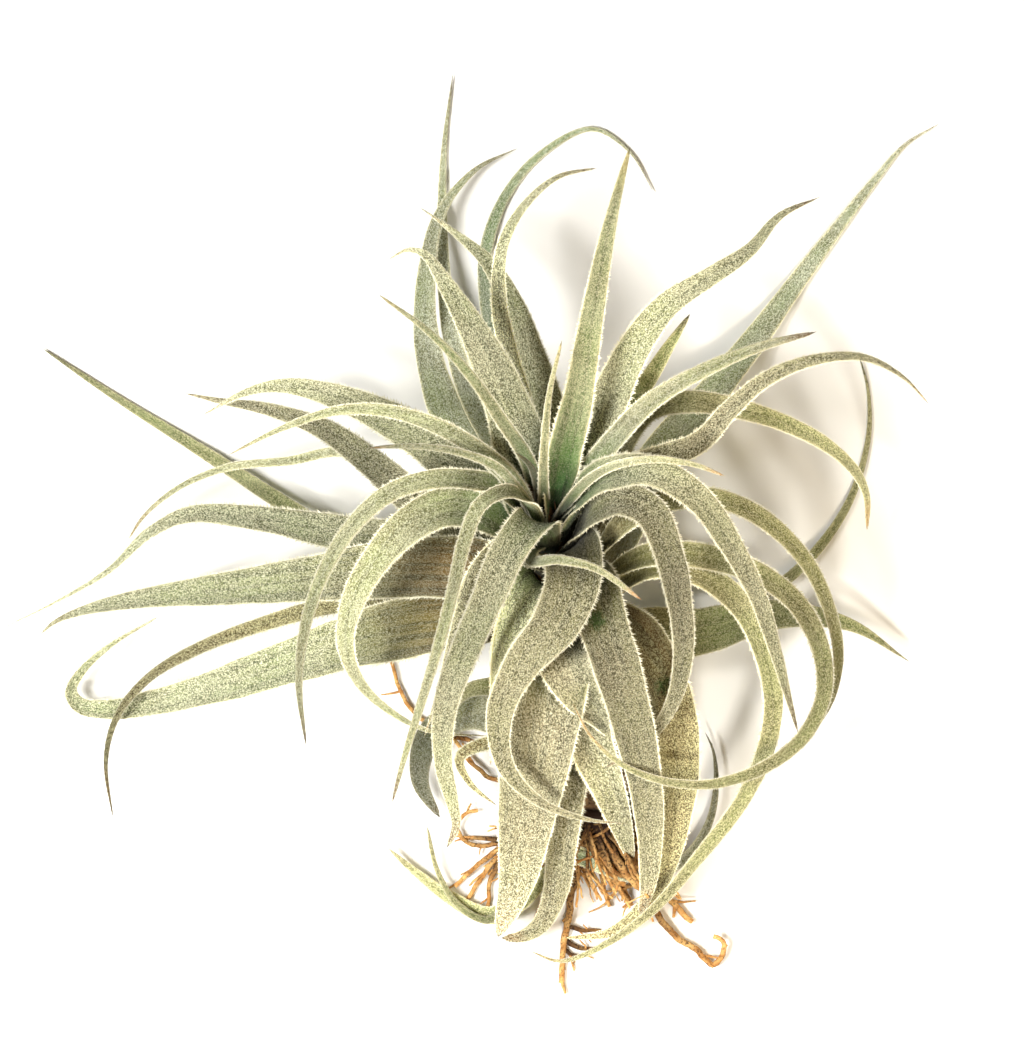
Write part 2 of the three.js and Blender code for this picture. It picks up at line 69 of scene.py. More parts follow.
def onAxis(along):
    return foot + stemAxis * along


def smoothStep(x, low, high):
    t = np.clip((x - low) / (high - low), 0, 1)
    return t * t * (3 - 2 * t)


def unit(v):
    return v / np.maximum(np.linalg.norm(v, axis=-1, keepdims=True), 1e-12)


# A smooth line through places (centripetal Catmull-Rom), as evenly spaced points with their lengths.
def smoothLine(places, count, fineSteps=60):
    p = np.array(places, float)
    p = np.vstack([2 * p[0] - p[1], p, 2 * p[-1] - p[-2]])
    fine = []
    for i in range(1, len(p) - 2):
        a, b, c, d = p[i - 1:i + 3]
        gaps = [max(np.linalg.norm(v) ** 0.5, 1e-6) for v in (b - a, c - b, d - c)]
        start = (b - a) / gaps[0] - (c - a) / (gaps[0] + gaps[1]) + (c - b) / gaps[1]
        end = (c - b) / gaps[1] - (d - b) / (gaps[1] + gaps[2]) + (d - c) / gaps[2]
        start, end = start * gaps[1], end * gaps[1]
        w = np.linspace(0, 1, fineSteps, endpoint=False)[:, None]
        bent = (2 * b - 2 * c + start + end) * w ** 3 + (3 * c - 3 * b - 2 * start - end) * w ** 2
        fine.append(b + start * w + bent)
    fine = np.vstack(fine + [p[-2:-1]])
    lengths = np.concatenate([[0], np.cumsum(np.linalg.norm(np.diff(fine, axis=0), axis=1))])
    wanted = np.linspace(0, lengths[-1], count)
    points = np.stack([np.interp(wanted, lengths, fine[:, k]) for k in range(3)], axis=1)
    return points, lengths[-1]


def tone(red, green, blue):
    return tuple(((c / 255) / 12.92 if c < 11 else ((c / 255 + 0.055) / 1.055) ** 2.4)
                 for c in (red, green, blue)) + (1.0,)


# Nodes shared by the trees and materials. fromNode gives the first output of a new node.
def addNode(tree, kind, values=None, **settings):
    node = tree.nodes.new(kind)
    for key, value in settings.items():
        setattr(node, key, value)
    for key, value in (values or {}).items():
        if isinstance(value, bpy.types.NodeSocket):
            tree.links.new(value, node.inputs[key])
        else:
            node.inputs[key].default_value = value
    return node


def fromNode(tree, kind, values=None, **settings):
    return addNode(tree, kind, values, **settings).outputs[0]


def maths(tree, operation, first, second=0.0):
    return fromNode(tree, "ShaderNodeMath", {0: first, 1: second}, operation=operation)


def product(tree, first, second):
    return maths(tree, "MULTIPLY", first, second)


def ramp(tree, value, low, high, start=0.0, end=1.0):
    return fromNode(tree, "ShaderNodeMapRange", {
        "Value": value, "From Min": low, "From Max": high, "To Min": start, "To Max": end},
        interpolation_type="SMOOTHSTEP")


def blend(tree, factor, first, second, mode="MIX"):
    return addNode(tree, "ShaderNodeMix", {0: factor, 6: first, 7: second},
                   data_type="RGBA", blend_type=mode).outputs[2]


def tint(tree, color, by):
    return blend(tree, 1.0, color, by, "MULTIPLY")


def cloud(tree, place, size, detail, roughness=0.5, output=0):
    return addNode(tree, "ShaderNodeTexNoise", {
        "Vector": place, "Scale": size, "Detail": detail, "Roughness": roughness}).outputs[output]


def readShare(tree, name):
    return addNode(tree, "ShaderNodeAttribute", attribute_name=name).outputs["Fac"]


def objectPlace(tree):
    return addNode(tree, "ShaderNodeTexCoord").outputs["Object"]


def onBlade(tree, scale):
    return fromNode(tree, "ShaderNodeMapping", {"Vector": fromNode(tree, "ShaderNodeUVMap"), "Scale": scale})


def newGroup(name, inputs):
    tree = bpy.data.node_groups.new(name, "ShaderNodeTree")
    for direction, sockets in (("INPUT", inputs), ("OUTPUT", dict(Color=(0, 0, 0, 1), Height=0.0))):
        for socketName, value in sockets.items():
            kind = "NodeSocketColor" if isinstance(value, tuple) else "NodeSocketFloat"
            socket = tree.interface.new_socket(name=socketName, in_out=direction, socket_type=kind)
            socket.default_value = value
    return tree, tree.nodes.new("NodeGroupInput").outputs


def endGroup(tree, color, height):
    out = tree.nodes.new("NodeGroupOutput")
    tree.links.new(color, out.inputs["Color"])
    tree.links.new(height, out.inputs["Height"])
    return tree


def useGroup(tree, group, values):
    return addNode(tree, "ShaderNodeGroup", values, node_tree=group).outputs


def newMaterial(name, roughness, specular):
    material = bpy.data.materials.new(name)
    material.use_nodes = True
    shader = material.node_tree.nodes["Principled BSDF"]
    shader.inputs["Roughness"].default_value = roughness
    shader.inputs["Specular IOR Level"].default_value = specular
    return material, material.node_tree, shader


def paint(tree, shader, color, height, strength, depth):
    tree.links.new(color, shader.inputs["Base Color"])
    bump = fromNode(tree, "ShaderNodeBump", {"Strength": strength, "Distance": depth, "Height": height})
    tree.links.new(bump, shader.inputs["Normal"])


# Patterns on a leaf: how fine each is per metre, the rim and its painted highlight in mm, where along the
# leaf its tip dries, tints as factors of red, green and blue.
leafPattern = dict(blotches=90.0, tints=48.0, ragged=1500.0, ridges=(700.0, 20.0, 1.0), grain=7500.0,
                   grainStretch=(1.0, 0.6, 1.0), flakeShare=0.4, raggedBy=0.2, rimHighlight=(0.2, 2.2),
                   tipDries=(0.93, 1.02), wornTo=0.35,
                   browner=(1.06, 0.86, 0.6, 1), greener=(0.76, 1.0, 0.8, 1),
                   rosier=(1.07, 0.98, 1.05, 1), yellower=(0.97, 1.01, 0.77, 1),
                   # The furrow tint is painted shade for the grooves along the leaf.
                   blotch=tone(200, 196, 176), furrowShade=tone(130, 136, 100), moss=tone(52, 80, 26))


# The zones of a leaf: pale margins, a greener or browner base, a dry tip, the underside, slow blotches.
def buildLeafZones():
    form = leafPattern
    tree, given = newGroup("leafZones", dict(
        Body=tone(150, 150, 125), UnderToneAndShade=tone(120, 130, 90), Base=tone(110, 120, 85),
        Margin=tone(226, 219, 174), Tip=tone(150, 110, 75), MarginWidth=0.65, MarginAmount=0.55,
        GrooveShading=0.4))
    place = objectPlace(tree)
    # The underside tone: its own browner colour, darkened further as painted shade.
    color = blend(tree, readShare(tree, "under"), given["Body"], given["UnderToneAndShade"])
    color = blend(tree, readShare(tree, "nearBase"), color, given["Base"])
    warmth = readShare(tree, "warmth")
    color = blend(tree, warmth, color, tint(tree, color, form["browner"]))
    color = blend(tree, product(tree, warmth, -1.0), color, tint(tree, color, form["greener"]))
    slow = cloud(tree, place, form["blotches"], 3.0)
    color = blend(tree, ramp(tree, slow, 0.42, 0.68), color, tint(tree, color, form["blotch"]))
    hue = ramp(tree, cloud(tree, place, form["tints"], 2.0), 0.38, 0.62)
    color = blend(tree, hue, tint(tree, color, form["yellower"]), tint(tree, color, form["rosier"]))

    # The ridges run along the leaf; the inner line of its pale margin is ragged, with a painted highlight
    # inside it, the light caught by the curled edge.
    ridge = cloud(tree, onBlade(tree, form["ridges"]), 1.0, 2.0)
    # Painted shade in the grooves: stripes along the leaf darkened by the furrow tint, as much as the leaf's
    # own amount; the same ridges give the bump.
    grooveShade = product(tree, ramp(tree, ridge, 0.47, 0.58), given["GrooveShading"])
    color = blend(tree, grooveShade, color, tint(tree, color, form["furrowShade"]))
    ragged = cloud(tree, place, form["ragged"], 1.0)
    uneven = ramp(tree, ragged, 0.3, 0.7, -form["raggedBy"], form["raggedBy"])
    gap = maths(tree, "ADD", readShare(tree, "rimGap"), uneven)
    margin = ramp(tree, maths(tree, "DIVIDE", gap, given["MarginWidth"]), 0.3, 1.0, 1.0, 0.0)
    # Painted highlight: a fifth of the margin colour fades inward over about 2 mm, as light on the curled
    # edge.
    margin = maths(tree, "MAXIMUM", margin, ramp(tree, gap, *form["rimHighlight"], 0.2, 0.0))
    color = blend(tree, product(tree, margin, given["MarginAmount"]), color, given["Margin"])
    speckled = ramp(tree, product(tree, ragged, readShare(tree, "moss")), 0.2, 0.34)
    color = blend(tree, speckled, color, form["moss"])
    tipStart = maths(tree, "ADD", readShare(tree, "along"), product(tree, slow, 0.08))
    dried = product(tree, ramp(tree, tipStart, *form["tipDries"]), readShare(tree, "dry"))
    return endGroup(tree, blend(tree, dried, color, given["Tip"]), ridge)


# The silver felt: fine dark and pale scales over any colour, hairs paler still.
def buildFeltGrain():
    form = leafPattern
    tree, given = newGroup("feltGrain", dict(
        Color=(0.5, 0.5, 0.5, 1), Dark=tone(85, 88, 66), Pale=tone(224, 222, 204),
        Fringe=tone(236, 233, 210), GrainSize=form["grain"], Amount=0.6))
    plan = onBlade(tree, form["grainStretch"])
    fine = cloud(tree, plan, given["GrainSize"], 1.0)
    scales = addNode(tree, "ShaderNodeTexVoronoi", {"Vector": plan, "Scale": given["GrainSize"]})
    flake = fromNode(tree, "ShaderNodeSeparateColor", {0: scales.outputs["Color"]})
    mixed = maths(tree, "ADD", product(tree, fine, 1 - form["flakeShare"]),
                  product(tree, flake, form["flakeShare"]))
    worn = ramp(tree, readShare(tree, "nearBase"), 0.2, 1.0, 1.0, form["wornTo"])
    amount = product(tree, given["Amount"], worn)
    mossy = fromNode(tree, "ShaderNodeClamp", {0: readShare(tree, "moss")})
    pale = product(tree, ramp(tree, mixed, 0.52, 0.6), amount)
    pale = product(tree, pale, maths(tree, "SUBTRACT", 1.0, mossy))
    dark = product(tree, ramp(tree, mixed, 0.4, 0.47, 1.0, 0.0), amount)
    color = blend(tree, dark, given["Color"], given["Dark"])
    color = blend(tree, pale, color, given["Pale"])
    hairTone = blend(tree, ramp(tree, readShare(tree, "speck"), 0.25, 0.75), given["Dark"], given["Pale"])
    color = blend(tree, product(tree, readShare(tree, "hair"), 0.5), color, hairTone)
    color = blend(tree, readShare(tree, "fringe"), color, given["Fringe"])
    # Painted light and shade: the whole colour is multiplied by the leaf's light value, which also carries
    # its own paleness, and by the painted shade near the stem.
    return endGroup(tree, tint(tree, color, readShare(tree, "lightAndShade")), mixed)


leafZones, feltGrain = buildLeafZones(), buildFeltGrain()

# Finishes of the leaves: rgb 0-255; each under tone is the underside's own browner colour darkened further as
# painted shade. grain is how strong the scales show, ridges how strongly painted shade darkens the grooves.
leafFinishes = dict(
    fresh=dict(body=(131, 141, 103), under=(118, 128, 90), base=(60, 106, 46), tip=(186, 160, 96),
               dark=(68, 76, 54), pale=(198, 194, 164), grain=0.62, ridges=0.6, roughness=0.8),
    lime=dict(body=(153, 159, 124), under=(132, 142, 103), base=(68, 108, 52), tip=(196, 140, 84),
              dark=(83, 87, 61), pale=(210, 210, 190), grain=0.62, ridges=0.55, roughness=0.8),
    straw=dict(body=(152, 159, 121), under=(130, 136, 96), base=(74, 110, 48), tip=(150, 100, 60),
               dark=(77, 75, 55), pale=(210, 212, 184), grain=0.74, ridges=0.66, roughness=0.9),
    silver=dict(body=(145, 148, 117), under=(119, 111, 73), base=(70, 108, 48), tip=(164, 124, 84),
                dark=(63, 66, 49), pale=(218, 218, 188), grain=0.85, ridges=0.7, roughness=0.95),
    sage=dict(body=(141, 153, 117), under=(117, 120, 76), base=(122, 102, 58), tip=(150, 128, 84),
              dark=(58, 62, 46), pale=(222, 222, 193), grain=0.86, ridges=0.7, roughness=0.95),
    grey=dict(body=(124, 122, 93), under=(104, 94, 61), base=(84, 90, 48), tip=(176, 132, 88),
              dark=(55, 53, 39), pale=(198, 195, 167), grain=0.94, ridges=0.75, roughness=0.95),
    olive=dict(body=(139, 143, 100), under=(129, 134, 86), base=(116, 111, 75), tip=(160, 110, 70),
               dark=(69, 69, 48), pale=(219, 215, 173), grain=0.7, ridges=0.5, roughness=0.9),
    brown=dict(body=(130, 120, 84), under=(117, 108, 70), base=(100, 84, 52), tip=(168, 124, 86),
               dark=(59, 50, 34), pale=(212, 208, 163), grain=0.95, ridges=0.66, roughness=0.95),
    slate=dict(body=(141, 153, 124), under=(120, 133, 103), base=(109, 109, 78), tip=(96, 66, 48),
               dark=(61, 65, 51), pale=(219, 222, 207), grain=0.6, ridges=0.35, roughness=0.85),
    bare=dict(body=(141, 151, 102), under=(127, 142, 86), base=(122, 122, 79), tip=(76, 62, 44),
              dark=(65, 72, 48), pale=(223, 218, 175), grain=0.62, ridges=0.4, roughness=0.7),
)
tipTones = dict(tan=(198, 150, 96), orange=(206, 138, 80), brown=(110, 66, 46), dark=(52, 44, 36))
leafSurface = dict(specular=0.2, sheen=0.12, sheenRoughness=0.5, ridgeHeight=2.5, bump=0.45, bumpDepth=0.3)


def buildLeafFinish(name, look, tip):
    finish, form = leafFinishes[look], leafSurface
    material, tree, shader = newMaterial(name, finish["roughness"], form["specular"])
    rgb = {key: tone(*value) for key, value in finish.items() if isinstance(value, tuple)}
    zones = useGroup(tree, leafZones, dict(
        Body=rgb["body"], UnderToneAndShade=rgb["under"], Base=rgb["base"], GrooveShading=finish["ridges"],
        Tip=tone(*tipTones[tip]) if tip else rgb["tip"]))
    grain = useGroup(tree, feltGrain, dict(
        Color=zones["Color"], Dark=rgb["dark"], Pale=rgb["pale"], Amount=finish["grain"]))
    height = maths(tree, "ADD", grain["Height"], product(tree, zones["Height"], form["ridgeHeight"]))
    paint(tree, shader, grain["Color"], height, form["bump"], form["bumpDepth"] * mm)
    shader.inputs["Sheen Weight"].default_value = form["sheen"]
    shader.inputs["Sheen Roughness"].default_value = form["sheenRoughness"]
    return material


print("leaf finishes ready")

# Leaves. base: mm up the stem where the leaf grows, width: at its broadest, taper: above 1 narrows early,
# facing: 1 turns the upper side up, path: places along its middle out to the tip. reach: how far the tone
# of its base goes, light: painted light and shade with the leaf's own paleness, brighter above 1 and darker
# below, warm: browner above 0 and greener below (light and warm are one value, or values from base to tip).
leafRows = {
    "crown_leaf_01": dict(look="fresh", base=89, width=2.4, taper=0.5, light=0.25, warm=-1, path=[
        (536, 479, 72), (528, 463, 80), (516, 453, 84)]),
    "crown_leaf_02": dict(look="fresh", base=88, width=2.4, taper=0.5, light=(0.15, 1.0, 1.0),
        warm=(-1, 0), path=[
        (544, 450, 83), (550, 390, 93), (562, 340, 98)]),
    "crown_leaf_03": dict(look="lime", base=86, width=2.6, taper=0.45, tip="tan",
        light=(0.15, 0.95, 1.1), warm=(-0.6, 0), path=[
        (590, 478, 79), (622, 463, 91), (655, 459, 94), (692, 464, 92), (725, 476, 87)]),
    "crown_leaf_04": dict(look="lime", base=85, width=2.6, taper=0.5, light=(0.15, 0.8, 0.4),
        warm=-0.4, path=[
        (518, 490, 74), (495, 466, 78), (450, 450, 82), (405, 446, 82), (368, 448, 80)]),
    "crown_leaf_05": dict(look="fresh", base=84, width=3.8, taper=0.6, light=0.8, warm=(-0.6, -0.3), path=[
        (528, 462, 70), (500, 418, 82), (470, 375, 88), (430, 333, 91), (378, 294, 92)]),
    "inner_leaf_01": dict(look="fresh", base=83, width=9, taper=0.65, light=(1.1, 1.1, 0.85),
        warm=(-0.6, -0.3, 0), path=[
        (563, 455, 72), (577, 400, 82), (590, 325, 92), (604, 250, 99), (618, 190, 103), (630, 147, 105)]),
    "inner_leaf_02": dict(look="lime", base=82, width=5.8, taper=0.55, tip="brown",
        light=(1.1, 1.05, 0.7), path=[
        (585, 480, 65), (614, 440, 75), (655, 399, 86), (705, 370, 90), (760, 347, 91), (816, 332, 90)]),
    "inner_leaf_03": dict(look="straw", base=81, width=3.6, taper=0.5, tip="brown",
        light=(1.2, 0.6, 1.0), path=[
        (526, 500, 74), (503, 492, 84), (480, 505, 88), (465, 540, 86), (453, 590, 80), (440, 640, 74),
        (422, 700, 66), (405, 755, 58), (392, 803, 50)]),
    "inner_leaf_04": dict(look="straw", base=80, width=5.2, taper=0.75, light=(0.45, 0.95, 1.05), path=[
        (512, 480, 68), (482, 452, 74), (440, 427, 76), (390, 411, 76), (340, 410, 74), (285, 427, 70),
        (228, 455, 66)]),
    "inner_leaf_05": dict(look="lime", base=80, width=3, taper=0.5, tip="orange",
        light=(1.4, 0.7, 0.9), path=[
        (533, 550, 66), (532, 562, 74), (560, 560, 82), (595, 568, 84), (642, 600, 80)]),
    "inner_leaf_06": dict(look="silver", base=79, width=18, taper=1.1, light=(1.1, 1.05, 1.3), path=[
        (525, 465, 62), (512, 420, 67), (492, 368, 68), (470, 325, 66), (445, 283, 62), (425, 255, 58),
        (408, 250, 56), (388, 260, 53)]),
    "inner_leaf_07": dict(look="silver", base=78, width=12.6, taper=0.9, tip="brown",
        light=(2.0, 1.15, 0.8), path=[
        (588, 460, 62), (610, 400, 70), (637, 345, 78), (668, 305, 83), (712, 276, 85), (750, 250, 84),
        (780, 216, 81), (820, 197, 78)]),
    "inner_leaf_08": dict(look="silver", base=77, width=8.8, taper=0.7, tip="brown",
        light=(1.05, 0.8, 0.7), path=[
        (588, 487, 70), (620, 472, 82), (655, 472, 88), (697, 498, 87), (732, 547, 76), (757, 595, 68),
        (775, 650, 58), (788, 697, 50), (798, 733, 45)]),
    "inner_leaf_09": dict(look="silver", base=76, width=8.8, taper=0.55, tip="brown",
        light=(1.0, 0.6, 1.45), path=[
        (534, 521, 75), (510, 549, 81), (488, 598, 79), (466, 648, 71), (446, 705, 61), (443, 760, 51),
        (453, 805, 42), (456, 825, 38), (447, 848, 34)]),
    "inner_leaf_10": dict(look="straw", base=76, width=5.4, taper=0.65, tip="brown",
        light=(1.15, 0.85, 0.5), path=[
        (500, 490, 68), (468, 480, 76), (430, 480, 81), (390, 493, 82), (355, 523, 79), (325, 570, 73),
        (307, 620, 66), (299, 680, 57), (306, 745, 47)]),
    "inner_leaf_11": dict(look="grey", base=74, width=9.2, taper=0.7, light=(1.0, 0.55, 1.0), path=[
        (580, 529, 62), (596, 507, 72), (622, 499, 78), (650, 512, 80), (668, 552, 77), (679, 600, 70),
        (683, 652, 60), (672, 703, 50), (645, 742, 43), (605, 768, 38)]),
    "inner_leaf_12": dict(look="silver", base=73, width=17, taper=1.1, light=(0.6, 0.9, 1.35), path=[
        (505, 492, 54), (470, 472, 58), (420, 437, 60), (370, 410, 57), (320, 392, 53), (280, 386, 49),
        (245, 393, 45), (203, 415, 39)]),
    "inner_leaf_13": dict(look="grey", base=72, width=8.2, taper=1.05, tip="tan",
        light=(1.8, 0.95, 0.95), path=[
        (600, 480, 58), (650, 462, 63), (700, 442, 66), (730, 410, 70), (765, 380, 73), (810, 361, 73),
        (860, 357, 69), (900, 375, 62), (929, 404, 54)]),
    "inner_leaf_14": dict(look="grey", base=71, width=17.2, taper=1.28, light=(0.25, 1.05, 1.0),
        warm=(0.9, 0, 0), path=[
        (569, 548, 66), (573, 578, 73), (556, 622, 72), (523, 662, 65), (500, 712, 57), (505, 765, 51),
        (540, 802, 46), (585, 819, 43), (628, 824, 41)]),
    "inner_leaf_15": dict(look="straw", base=70, width=14, taper=1.35, light=(1.0, 1.15, 1.0), path=[
        (495, 518, 62), (450, 507, 69), (410, 525, 73), (375, 562, 73), (352, 605, 69), (346, 645, 62),
        (360, 682, 55), (390, 711, 49), (430, 731, 44), (488, 736, 40)]),
    "inner_leaf_16": dict(look="bare", base=69, width=8.4, taper=0.6, tip="dark",
        light=(0.15, 0.45, 1.9), warm=-0.8, path=[
        (605, 455, 52), (628, 405, 58), (648, 380, 62), (668, 348, 66), (690, 314, 70)]),
    "inner_leaf_17": dict(look="grey", base=68, width=9.6, taper=1.2, tip="tan", light=1.35, path=[
        (517, 550, 60), (495, 557, 67), (475, 582, 69), (458, 630, 62), (440, 688, 53), (424, 738, 45)]),
    "inner_leaf_18": dict(look="silver", base=67, width=6, taper=0.7, light=(0.5, 2.0, 0.9), path=[
        (533, 460, 53), (523, 405, 55), (508, 350, 53), (499, 300, 49), (503, 245, 44), (525, 205, 39),
        (558, 177, 35), (597, 168, 31)]),
    "inner_leaf_19": dict(look="olive", base=66, width=5.6, taper=0.6, light=(1.1, 0.85, 0.4),
        warm=(0.2, 0.1, 0.5, 0.2), path=[
        (605, 545, 58), (628, 520, 63), (665, 502, 64), (712, 498, 61), (760, 517, 55), (805, 560, 48),
        (831, 615, 41), (838, 660, 35), (828, 705, 30), (805, 735, 27), (778, 750, 25)]),
    "inner_leaf_20": dict(look="grey", base=65, width=12.2, taper=0.5, light=(0.4, 0.9, 1.55),
        warm=(0.6, 0, 0), moss=[(596, 620, 63)], path=[
        (588, 580, 62), (602, 622, 66), (619, 675, 61), (635, 735, 50), (646, 790, 38), (650, 840, 28),
        (647, 890, 19), (640, 915, 14)]),
    "inner_leaf_21": dict(look="straw", base=64, width=10, taper=0.8, light=2.5, path=[
        (535, 580, 55), (521, 602, 60), (507, 642, 56), (500, 690, 47), (497, 730, 41), (490, 765, 35)]),
    "outer_leaf_01": dict(look="olive", base=62, width=7, taper=0.6, tip="tan",
        light=(0.35, 0.7, 1.3, 1.1), warm=(0.1, -0.3), path=[
        (610, 470, 46), (645, 412, 49), (690, 402, 50), (760, 415, 46), (818, 440, 40), (852, 468, 33),
        (866, 495, 26), (867, 530, 18)]),
    "outer_leaf_02": dict(look="grey", base=61, width=12.5, taper=0.95, light=(1.6, 0.7, 1.05), path=[
        (470, 530, 46), (415, 500, 45), (370, 462, 41), (325, 430, 37), (270, 410, 32), (220, 401, 28),
        (183, 393, 24)]),
    "outer_leaf_03": dict(look="silver", base=60, width=23, taper=1.25, light=(0.8, 1.1, 1.15),
        warm=(0.4, 0, 0), path=[
        (550, 480, 45), (542, 425, 44), (530, 370, 41), (515, 315, 37), (490, 265, 33), (455, 233, 30),
        (418, 206, 27)]),
    "outer_leaf_04": dict(look="sage", base=59, width=19, taper=0.95, facing=0.6, light=0.95,
        warm=(0.7, 0), reach=0.55, path=[
        (500, 578, 50), (440, 570, 50), (380, 572, 46), (310, 580, 41), (230, 589, 33), (150, 598, 25),
        (90, 609, 18), (55, 622, 13), (40, 635, 10)]),
    "outer_leaf_05": dict(look="olive", base=58, width=6.6, taper=0.8, tip="tan",
        light=(1.4, 0.6, 0.95), warm=(0, -0.2), path=[
        (615, 572, 52), (655, 555, 57), (705, 557, 58), (760, 575, 53), (800, 608, 47), (822, 655, 43),
        (822, 700, 40), (800, 740, 38), (760, 769, 39), (710, 784, 41), (660, 780, 44), (620, 763, 47),
        (590, 735, 50), (573, 703, 52)]),
    "outer_leaf_06": dict(look="grey", base=57, width=16.5, taper=0.8, light=(1.7, 1.2, 1.7), path=[
        (563, 638, 50), (565, 664, 55), (579, 692, 51), (600, 719, 43), (615, 742, 36)]),
    "outer_leaf_07": dict(look="slate", base=56, width=7.4, taper=0.85, light=(0.8, 1.5, 1.5, 0.8),
        warm=0.2, path=[
        (530, 500, 38), (500, 450, 34), (472, 400, 27), (455, 350, 19), (445, 290, 10), (442, 220, 3),
        (444, 150, 1), (453, 73, 1)]),
    "outer_leaf_08": dict(look="olive", base=55, width=6.6, taper=0.7, light=(1.5, 1.0, 1.05), path=[
        (618, 590, 47), (655, 568, 52), (700, 575, 52), (740, 605, 48), (763, 650, 43), (773, 700, 37),
        (765, 750, 32), (742, 800, 27), (700, 855, 23), (650, 912, 20), (600, 947, 16), (560, 961, 13),
        (530, 951, 11)]),
    "outer_leaf_09": dict(look="sage", base=54, width=17, taper=1.5, facing=0.6, light=(1.1, 0.8, 1.4),
        reach=0.5, path=[
        (480, 572, 42), (430, 555, 41), (380, 542, 38), (320, 530, 35), (250, 518, 32), (190, 515, 29),
        (150, 533, 25), (110, 570, 20), (60, 600, 14), (5, 627, 9)]),
    "outer_leaf_10": dict(look="grey", base=53, width=21, taper=0.6, light=(1.0, 1.25, 2.1),
        warm=(0.4, 0.3, 0), path=[
        (558, 638, 45), (549, 668, 49), (543, 705, 47), (535, 760, 41), (526, 820, 32), (517, 880, 22),
        (498, 937, 11)]),
    "outer_leaf_11": dict(look="brown", base=52, width=14.6, taper=0.8, light=(1.0, 1.2, 1.8),
        warm=(0.1, 0, -0.3), moss=[(664, 686, 42)], path=[
        (598, 619, 40), (627, 632, 45), (651, 664, 45), (671, 710, 38), (679, 760, 33), (675, 815, 26),
        (664, 865, 18), (648, 902, 11), (610, 932, 8), (563, 938, 7)]),
    "outer_leaf_12": dict(look="slate", base=51, width=13.4, taper=1, light=(0.8, 1.4, 0.9), warm=0.3,
        path=[
        (500, 500, 32), (470, 455, 29), (440, 395, 24), (426, 335, 19), (427, 270, 14), (440, 214, 9),
        (475, 170, 5), (518, 148, 3)]),
    "outer_leaf_13": dict(look="sage", base=50, width=19, taper=1.05, facing=0.6,
        light=(0.95, 1.2, 1.2), reach=0.5, path=[
        (500, 625, 40), (430, 627, 39), (360, 641, 34), (290, 663, 27), (220, 686, 19), (160, 702, 12),
        (110, 710, 8), (80, 706, 7), (70, 692, 8), (80, 672, 10), (110, 645, 12), (158, 617, 14)]),
    "outer_leaf_14": dict(look="slate", base=49, width=13, taper=1, light=(1.5, 1.6, 1.15),
        warm=(0.3, -0.1, -0.2), path=[
        (620, 530, 32), (665, 450, 22), (715, 390, 11), (760, 333, 4), (800, 278, 1), (840, 225, 1),
        (875, 180, 1), (905, 145, 1), (940, 123, 2)]),
    "outer_leaf_15": dict(look="grey", base=48, width=12.5, taper=0.6, light=(0.9, 1.8, 1.3), path=[
        (575, 686, 39), (584, 718, 41), (594, 752, 36), (607, 785, 30), (621, 825, 23), (632, 862, 15)]),
    "outer_leaf_16": dict(look="brown", base=47, width=6, taper=0.8, tip="tan", light=(0.6, 0.85, 0.3),
        path=[
        (490, 590, 32), (400, 600, 30), (340, 604, 27), (270, 622, 24), (200, 648, 21), (150, 677, 18),
        (118, 715, 15), (106, 760, 11), (113, 818, 7)]),
    "outer_leaf_17": dict(look="bare", base=46, width=17, taper=1.1, light=(0.85, 0.7, 1.0), path=[
        (640, 640, 30), (700, 632, 24), (775, 615, 17), (850, 625, 11), (910, 662, 7)]),
    "outer_leaf_18": dict(look="slate", base=45, width=7.2, taper=0.95, light=(1.9, 0.9, 1.1),
        warm=-0.6, path=[
        (545, 520, 28), (518, 440, 19), (499, 360, 10), (487, 300, 5), (486, 250, 2), (505, 197, 1),
        (540, 155, 1), (592, 129, 1), (630, 152, 1), (655, 195, 1)]),
    "outer_leaf_19": dict(look="straw", base=44, width=3.4, taper=0.5, light=(1.3, 1.2, 1.1), path=[
        (500, 560, 26), (430, 500, 24), (375, 458, 23), (335, 452, 22), (290, 461, 21), (230, 467, 20),
        (180, 487, 18), (145, 515, 16), (128, 540, 15)]),
    "old_leaf_01": dict(look="bare", base=42, width=7.5, taper=0.8, light=(1.1, 0.8, 0.2),
        warm=(0, 0.8), path=[
        (535, 670, 34), (500, 685, 32), (470, 690, 29), (453, 708, 25), (455, 730, 21)]),
    "old_leaf_02": dict(look="bare", base=40, width=6.2, taper=0.65, light=(2.0, 1.1, 0.65), warm=-0.2,
        path=[
        (500, 620, 22), (400, 580, 15), (330, 535, 9), (285, 505, 6), (200, 450, 2), (120, 400, 1),
        (42, 348, 1)]),
    "old_leaf_03": dict(look="grey", base=38, width=9.5, taper=0.48, light=(0.4, 1.2, 1.05),
        warm=(1, 0.3), path=[
        (568, 780, 30), (562, 840, 23), (556, 890, 15), (540, 925, 10), (520, 937, 8), (501, 938, 8)]),
    "old_leaf_04": dict(look="bare", base=36, width=4, taper=0.7, tip="dark", light=0.85, warm=0.3, path=[
        (640, 660, 20), (720, 614, 10), (790, 577, 5), (845, 510, 2), (868, 440, 1), (868, 390, 1),
        (858, 352, 2)]),
    "old_leaf_05": dict(look="slate", base=34, width=11, taper=0.6, facing=1,
        light=(2.4, 0.9, 0.25, 0.7), warm=(0.1, 0.9, 0.1), path=[
        (525, 718, 25), (470, 712, 17), (430, 735, 13), (420, 780, 9), (440, 818, 6)]),
    "old_leaf_06": dict(look="brown", base=32, width=5.5, taper=0.8, light=(0.7, 0.8, 1.5), warm=1, path=[
        (540, 745, 20), (495, 742, 17), (460, 757, 14), (470, 783, 11), (497, 806, 9)]),
    "old_leaf_07": dict(look="slate", base=30, width=6, taper=0.8, light=(2.0, 1.3, 0.4),
        warm=(-0.8, -0.2, 0.8), path=[
